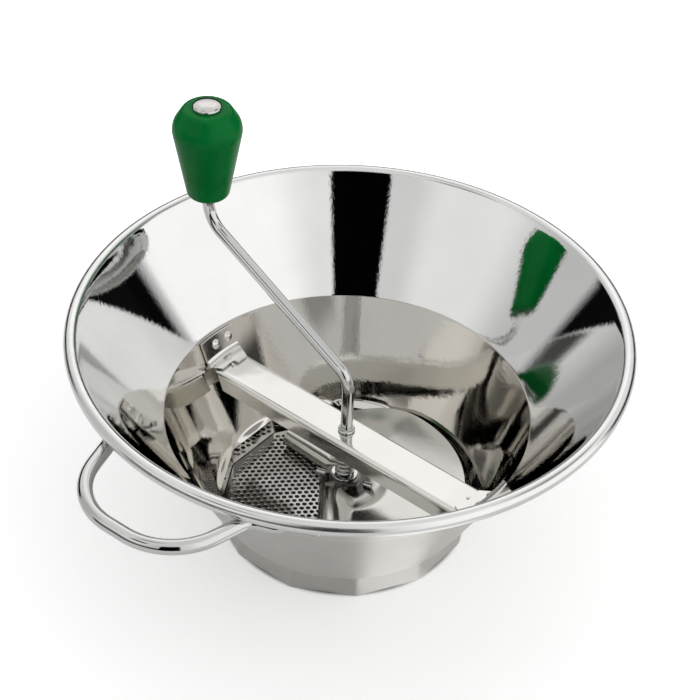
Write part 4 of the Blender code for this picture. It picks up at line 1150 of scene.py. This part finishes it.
def make_world():
    world = bpy.data.worlds.new("studio")
    bpy.context.scene.world = world
    world.use_nodes = True
    nodes = Nodes(world.node_tree)
    background = nodes.tree.nodes["Background"]
    x, y, z = nodes.axes("Generated")
    elevation = nodes.math("ARCSINE", z)

    def ramp(value, low, high, to_low, to_high):
        return nodes.remap(value, low, high, to_low, to_high, "SMOOTHSTEP")

    level = ramp(elevation, ZENITH_START, ZENITH_END, 1, ZENITH_LEVEL)
    for *angles, gain in SOFTBOXES + FLAGS:
        azimuth, half_width, side_soft, low, high, soft = (math.radians(angle) for angle in angles)
        away = nodes.away_from(x, y, azimuth)
        sector = ramp(away, half_width - side_soft, half_width + side_soft, 1, 0)
        band = nodes.times(ramp(elevation, low - soft, low + soft, 0, 1),
                           ramp(elevation, high - soft, high + soft, 1, 0))
        panel = nodes.times(nodes.times(sector, band), gain)
        level = nodes.times(level, nodes.math("ADD", 1, panel))
    camera_ray = nodes.node("ShaderNodeLightPath").outputs["Is Camera Ray"]
    mixed = nodes.node("ShaderNodeMix")
    for socket, value in (("Factor", camera_ray), ("A", level), ("B", 1)):
        nodes.feed(mixed.inputs[socket], value)
    nodes.feed(background.inputs["Strength"], mixed.outputs["Result"])
    background.inputs["Color"].default_value = (1, 1, 1, 1)


def make_floor():
    mesh = bpy.data.meshes.new("floor")
    mesh.from_pydata([(x * FLOOR_HALF, y * FLOOR_HALF, 0) for x, y in ((-1, -1), (1, -1), (1, 1), (-1, 1))],
                     [], [(0, 1, 2, 3)])
    floor = bpy.data.objects.new("floor", mesh)
    bpy.context.scene.collection.objects.link(floor)
    shader = Shader("floor_paper")
    path = shader.node("ShaderNodeLightPath")
    x, y, _ = shader.axes()
    radius = shader.radius(x, y)
    under_foot = (BAND_RADIUS - LIP_WIDTH / 2, BAND_RADIUS)
    # The paper is darkened under the foot: painted shade, so the floor seen through the sieve's holes is dark
    paper_and_painted_shade = shader.remap(radius, *under_foot, PAPER_SHADE_UNDER_FOOT, PAPER_OPEN)
    glow = shader.math("ADD", shader.remap(radius, *under_foot, 0, GLOW_CLOSE),
                       shader.remap(radius, WHITE_START, WHITE_END, 0, 1))
    # The card is emission that only glossy rays see: a painted reflection of light in the steel
    away = shader.away_from(x, y, CARD_AZIMUTH)
    card = shader.times(shader.remap(away, CARD_HALF_WIDTH, CARD_SIDE_END, CARD_STRENGTH, 0),
                        shader.remap(radius, CARD_FADE_START, CARD_FADE_END, 1, 0))
    seen = shader.times(path.outputs["Is Camera Ray"], glow)
    mirrored = shader.times(path.outputs["Is Glossy Ray"], card)
    shader.set("Base Color", shader.combine(paper_and_painted_shade, paper_and_painted_shade, paper_and_painted_shade))
    shader.set("Roughness", FLOOR_ROUGHNESS)
    shader.set("Emission Color", (1, 1, 1, 1))
    shader.set("Emission Strength", shader.math("ADD", seen, mirrored))
    mesh.materials.append(shader.material)


def make_camera():
    data = bpy.data.cameras.new("camera")
    data.lens = CAMERA_LENS_MM
    data.sensor_width = CAMERA_SENSOR_MM
    data.clip_start = CAMERA_CLIP_START
    camera = bpy.data.objects.new("camera", data)
    bpy.context.scene.collection.objects.link(camera)
    outward = polar(math.cos(CAMERA_ELEVATION), CAMERA_AZIMUTH, math.sin(CAMERA_ELEVATION))
    right = polar(1, CAMERA_AZIMUTH + QUARTER_TURN)
    camera.location = Vector((0, 0, CAMERA_TARGET_HEIGHT)) + outward * CAMERA_DISTANCE
    back = Matrix.Rotation(CAMERA_LIFT, 3, right) @ outward
    above = back.cross(right)
    roll = Matrix.Rotation(CAMERA_ROLL, 3, back)
    right, above = roll @ right, roll @ above
    camera.rotation_euler = Matrix((right, above, back)).transposed().to_euler()
    bpy.context.scene.camera = camera


bpy.context.scene.view_settings.view_transform = "Standard"
make_camera()
make_world()
make_floor()

# Each finish: its colour, its roughness from smooth to rough, its marks
# (coordinates, how many across and along a metre, strength) and its waves
# (strength, how many a metre)
spun_mirror = steel("spun_mirror", (0.74, 0.74, 0.73), (0.01, 0.03), (spun_marks, 400, 60, 0.35))
spun_wavy = steel("spun_wavy", (0.67, 0.65, 0.61), (0.02, 0.06), (spun_marks, 420, 40, 0.4), (0.12, 30))
spun_satin = steel("spun_satin", (0.66, 0.65, 0.62), (0.40, 0.50), (spun_marks, 2200, 20, 0.2), spun=0.85)
spun_bead = steel("spun_bead", (0.74, 0.74, 0.73), (0.16, 0.26), (spun_marks, 700, 20, 0.3))
flat_satin = steel("flat_satin", (0.70, 0.69, 0.66), (0.10, 0.18), (drawn_marks, 1500, 200, 0.15), (0.15, 80))
# The blade's colour is darker than the flat satin's, as painted shade for its place under the bar, and darker
# still at the hub, as painted shade
blade_satin = steel("blade_satin", (0.60, 0.59, 0.56), (0.12, 0.22), (drawn_marks, 1500, 200, 0.15), (0.2, 60),
                    hub_painted_shade=0.3)
sieve_satin = steel("sieve_satin", (0.46, 0.45, 0.43), (0.08, 0.20), (drawn_marks, 1500, 200, 0.12), (0.5, 60))
flat_mirror = steel("flat_mirror", (0.62, 0.60, 0.58), (0.06, 0.14), (drawn_marks, 1500, 200, 0.12))
drawn_steel = steel("drawn_steel", (0.60, 0.60, 0.59), (0.04, 0.10), (drawn_marks, 900, 300, 0.20))
plastic = make_plastic()

make_bowl(spun_mirror, spun_wavy, spun_satin, spun_bead)
make_sieve(sieve_satin)
make_handle(drawn_steel)
for label, turn in (("left", 0), ("right", math.pi)):
    make_bracket(label, BAR_AZIMUTH + turn, flat_satin)
    for number, side in ((1, -1), (2, 1)):
        make_rivet(label, number, BAR_AZIMUTH + turn, side * RIVET_SPACING / 2 - RIVET_SHIFT, flat_satin)
make_crossbar(flat_satin)
make_blade(blade_satin)
make_pin(drawn_steel)
make_washer("spring_washer_upper", "bridge", 0.15 * MM, drawn_steel)
make_washer("spring_washer_lower", "carrier", 0.15 * MM, drawn_steel)
make_washer("knob_ring", "crank", 0.3 * MM, drawn_steel)
make_collar(drawn_steel)
make_crank(drawn_steel)
make_knob(plastic)
make_button(flat_mirror)
make_spring(drawn_steel)

# The frame's own solids, for the nodes that have no finer piece
looks = {"steel": drawn_steel, "green_plastic": plastic, "polished_steel": flat_mirror}
for part in frame["record"]["subparts"]:
    for slot in frame["nodes"][part["node"]].material_slots:
        slot.material = looks[part["material_slot"]]
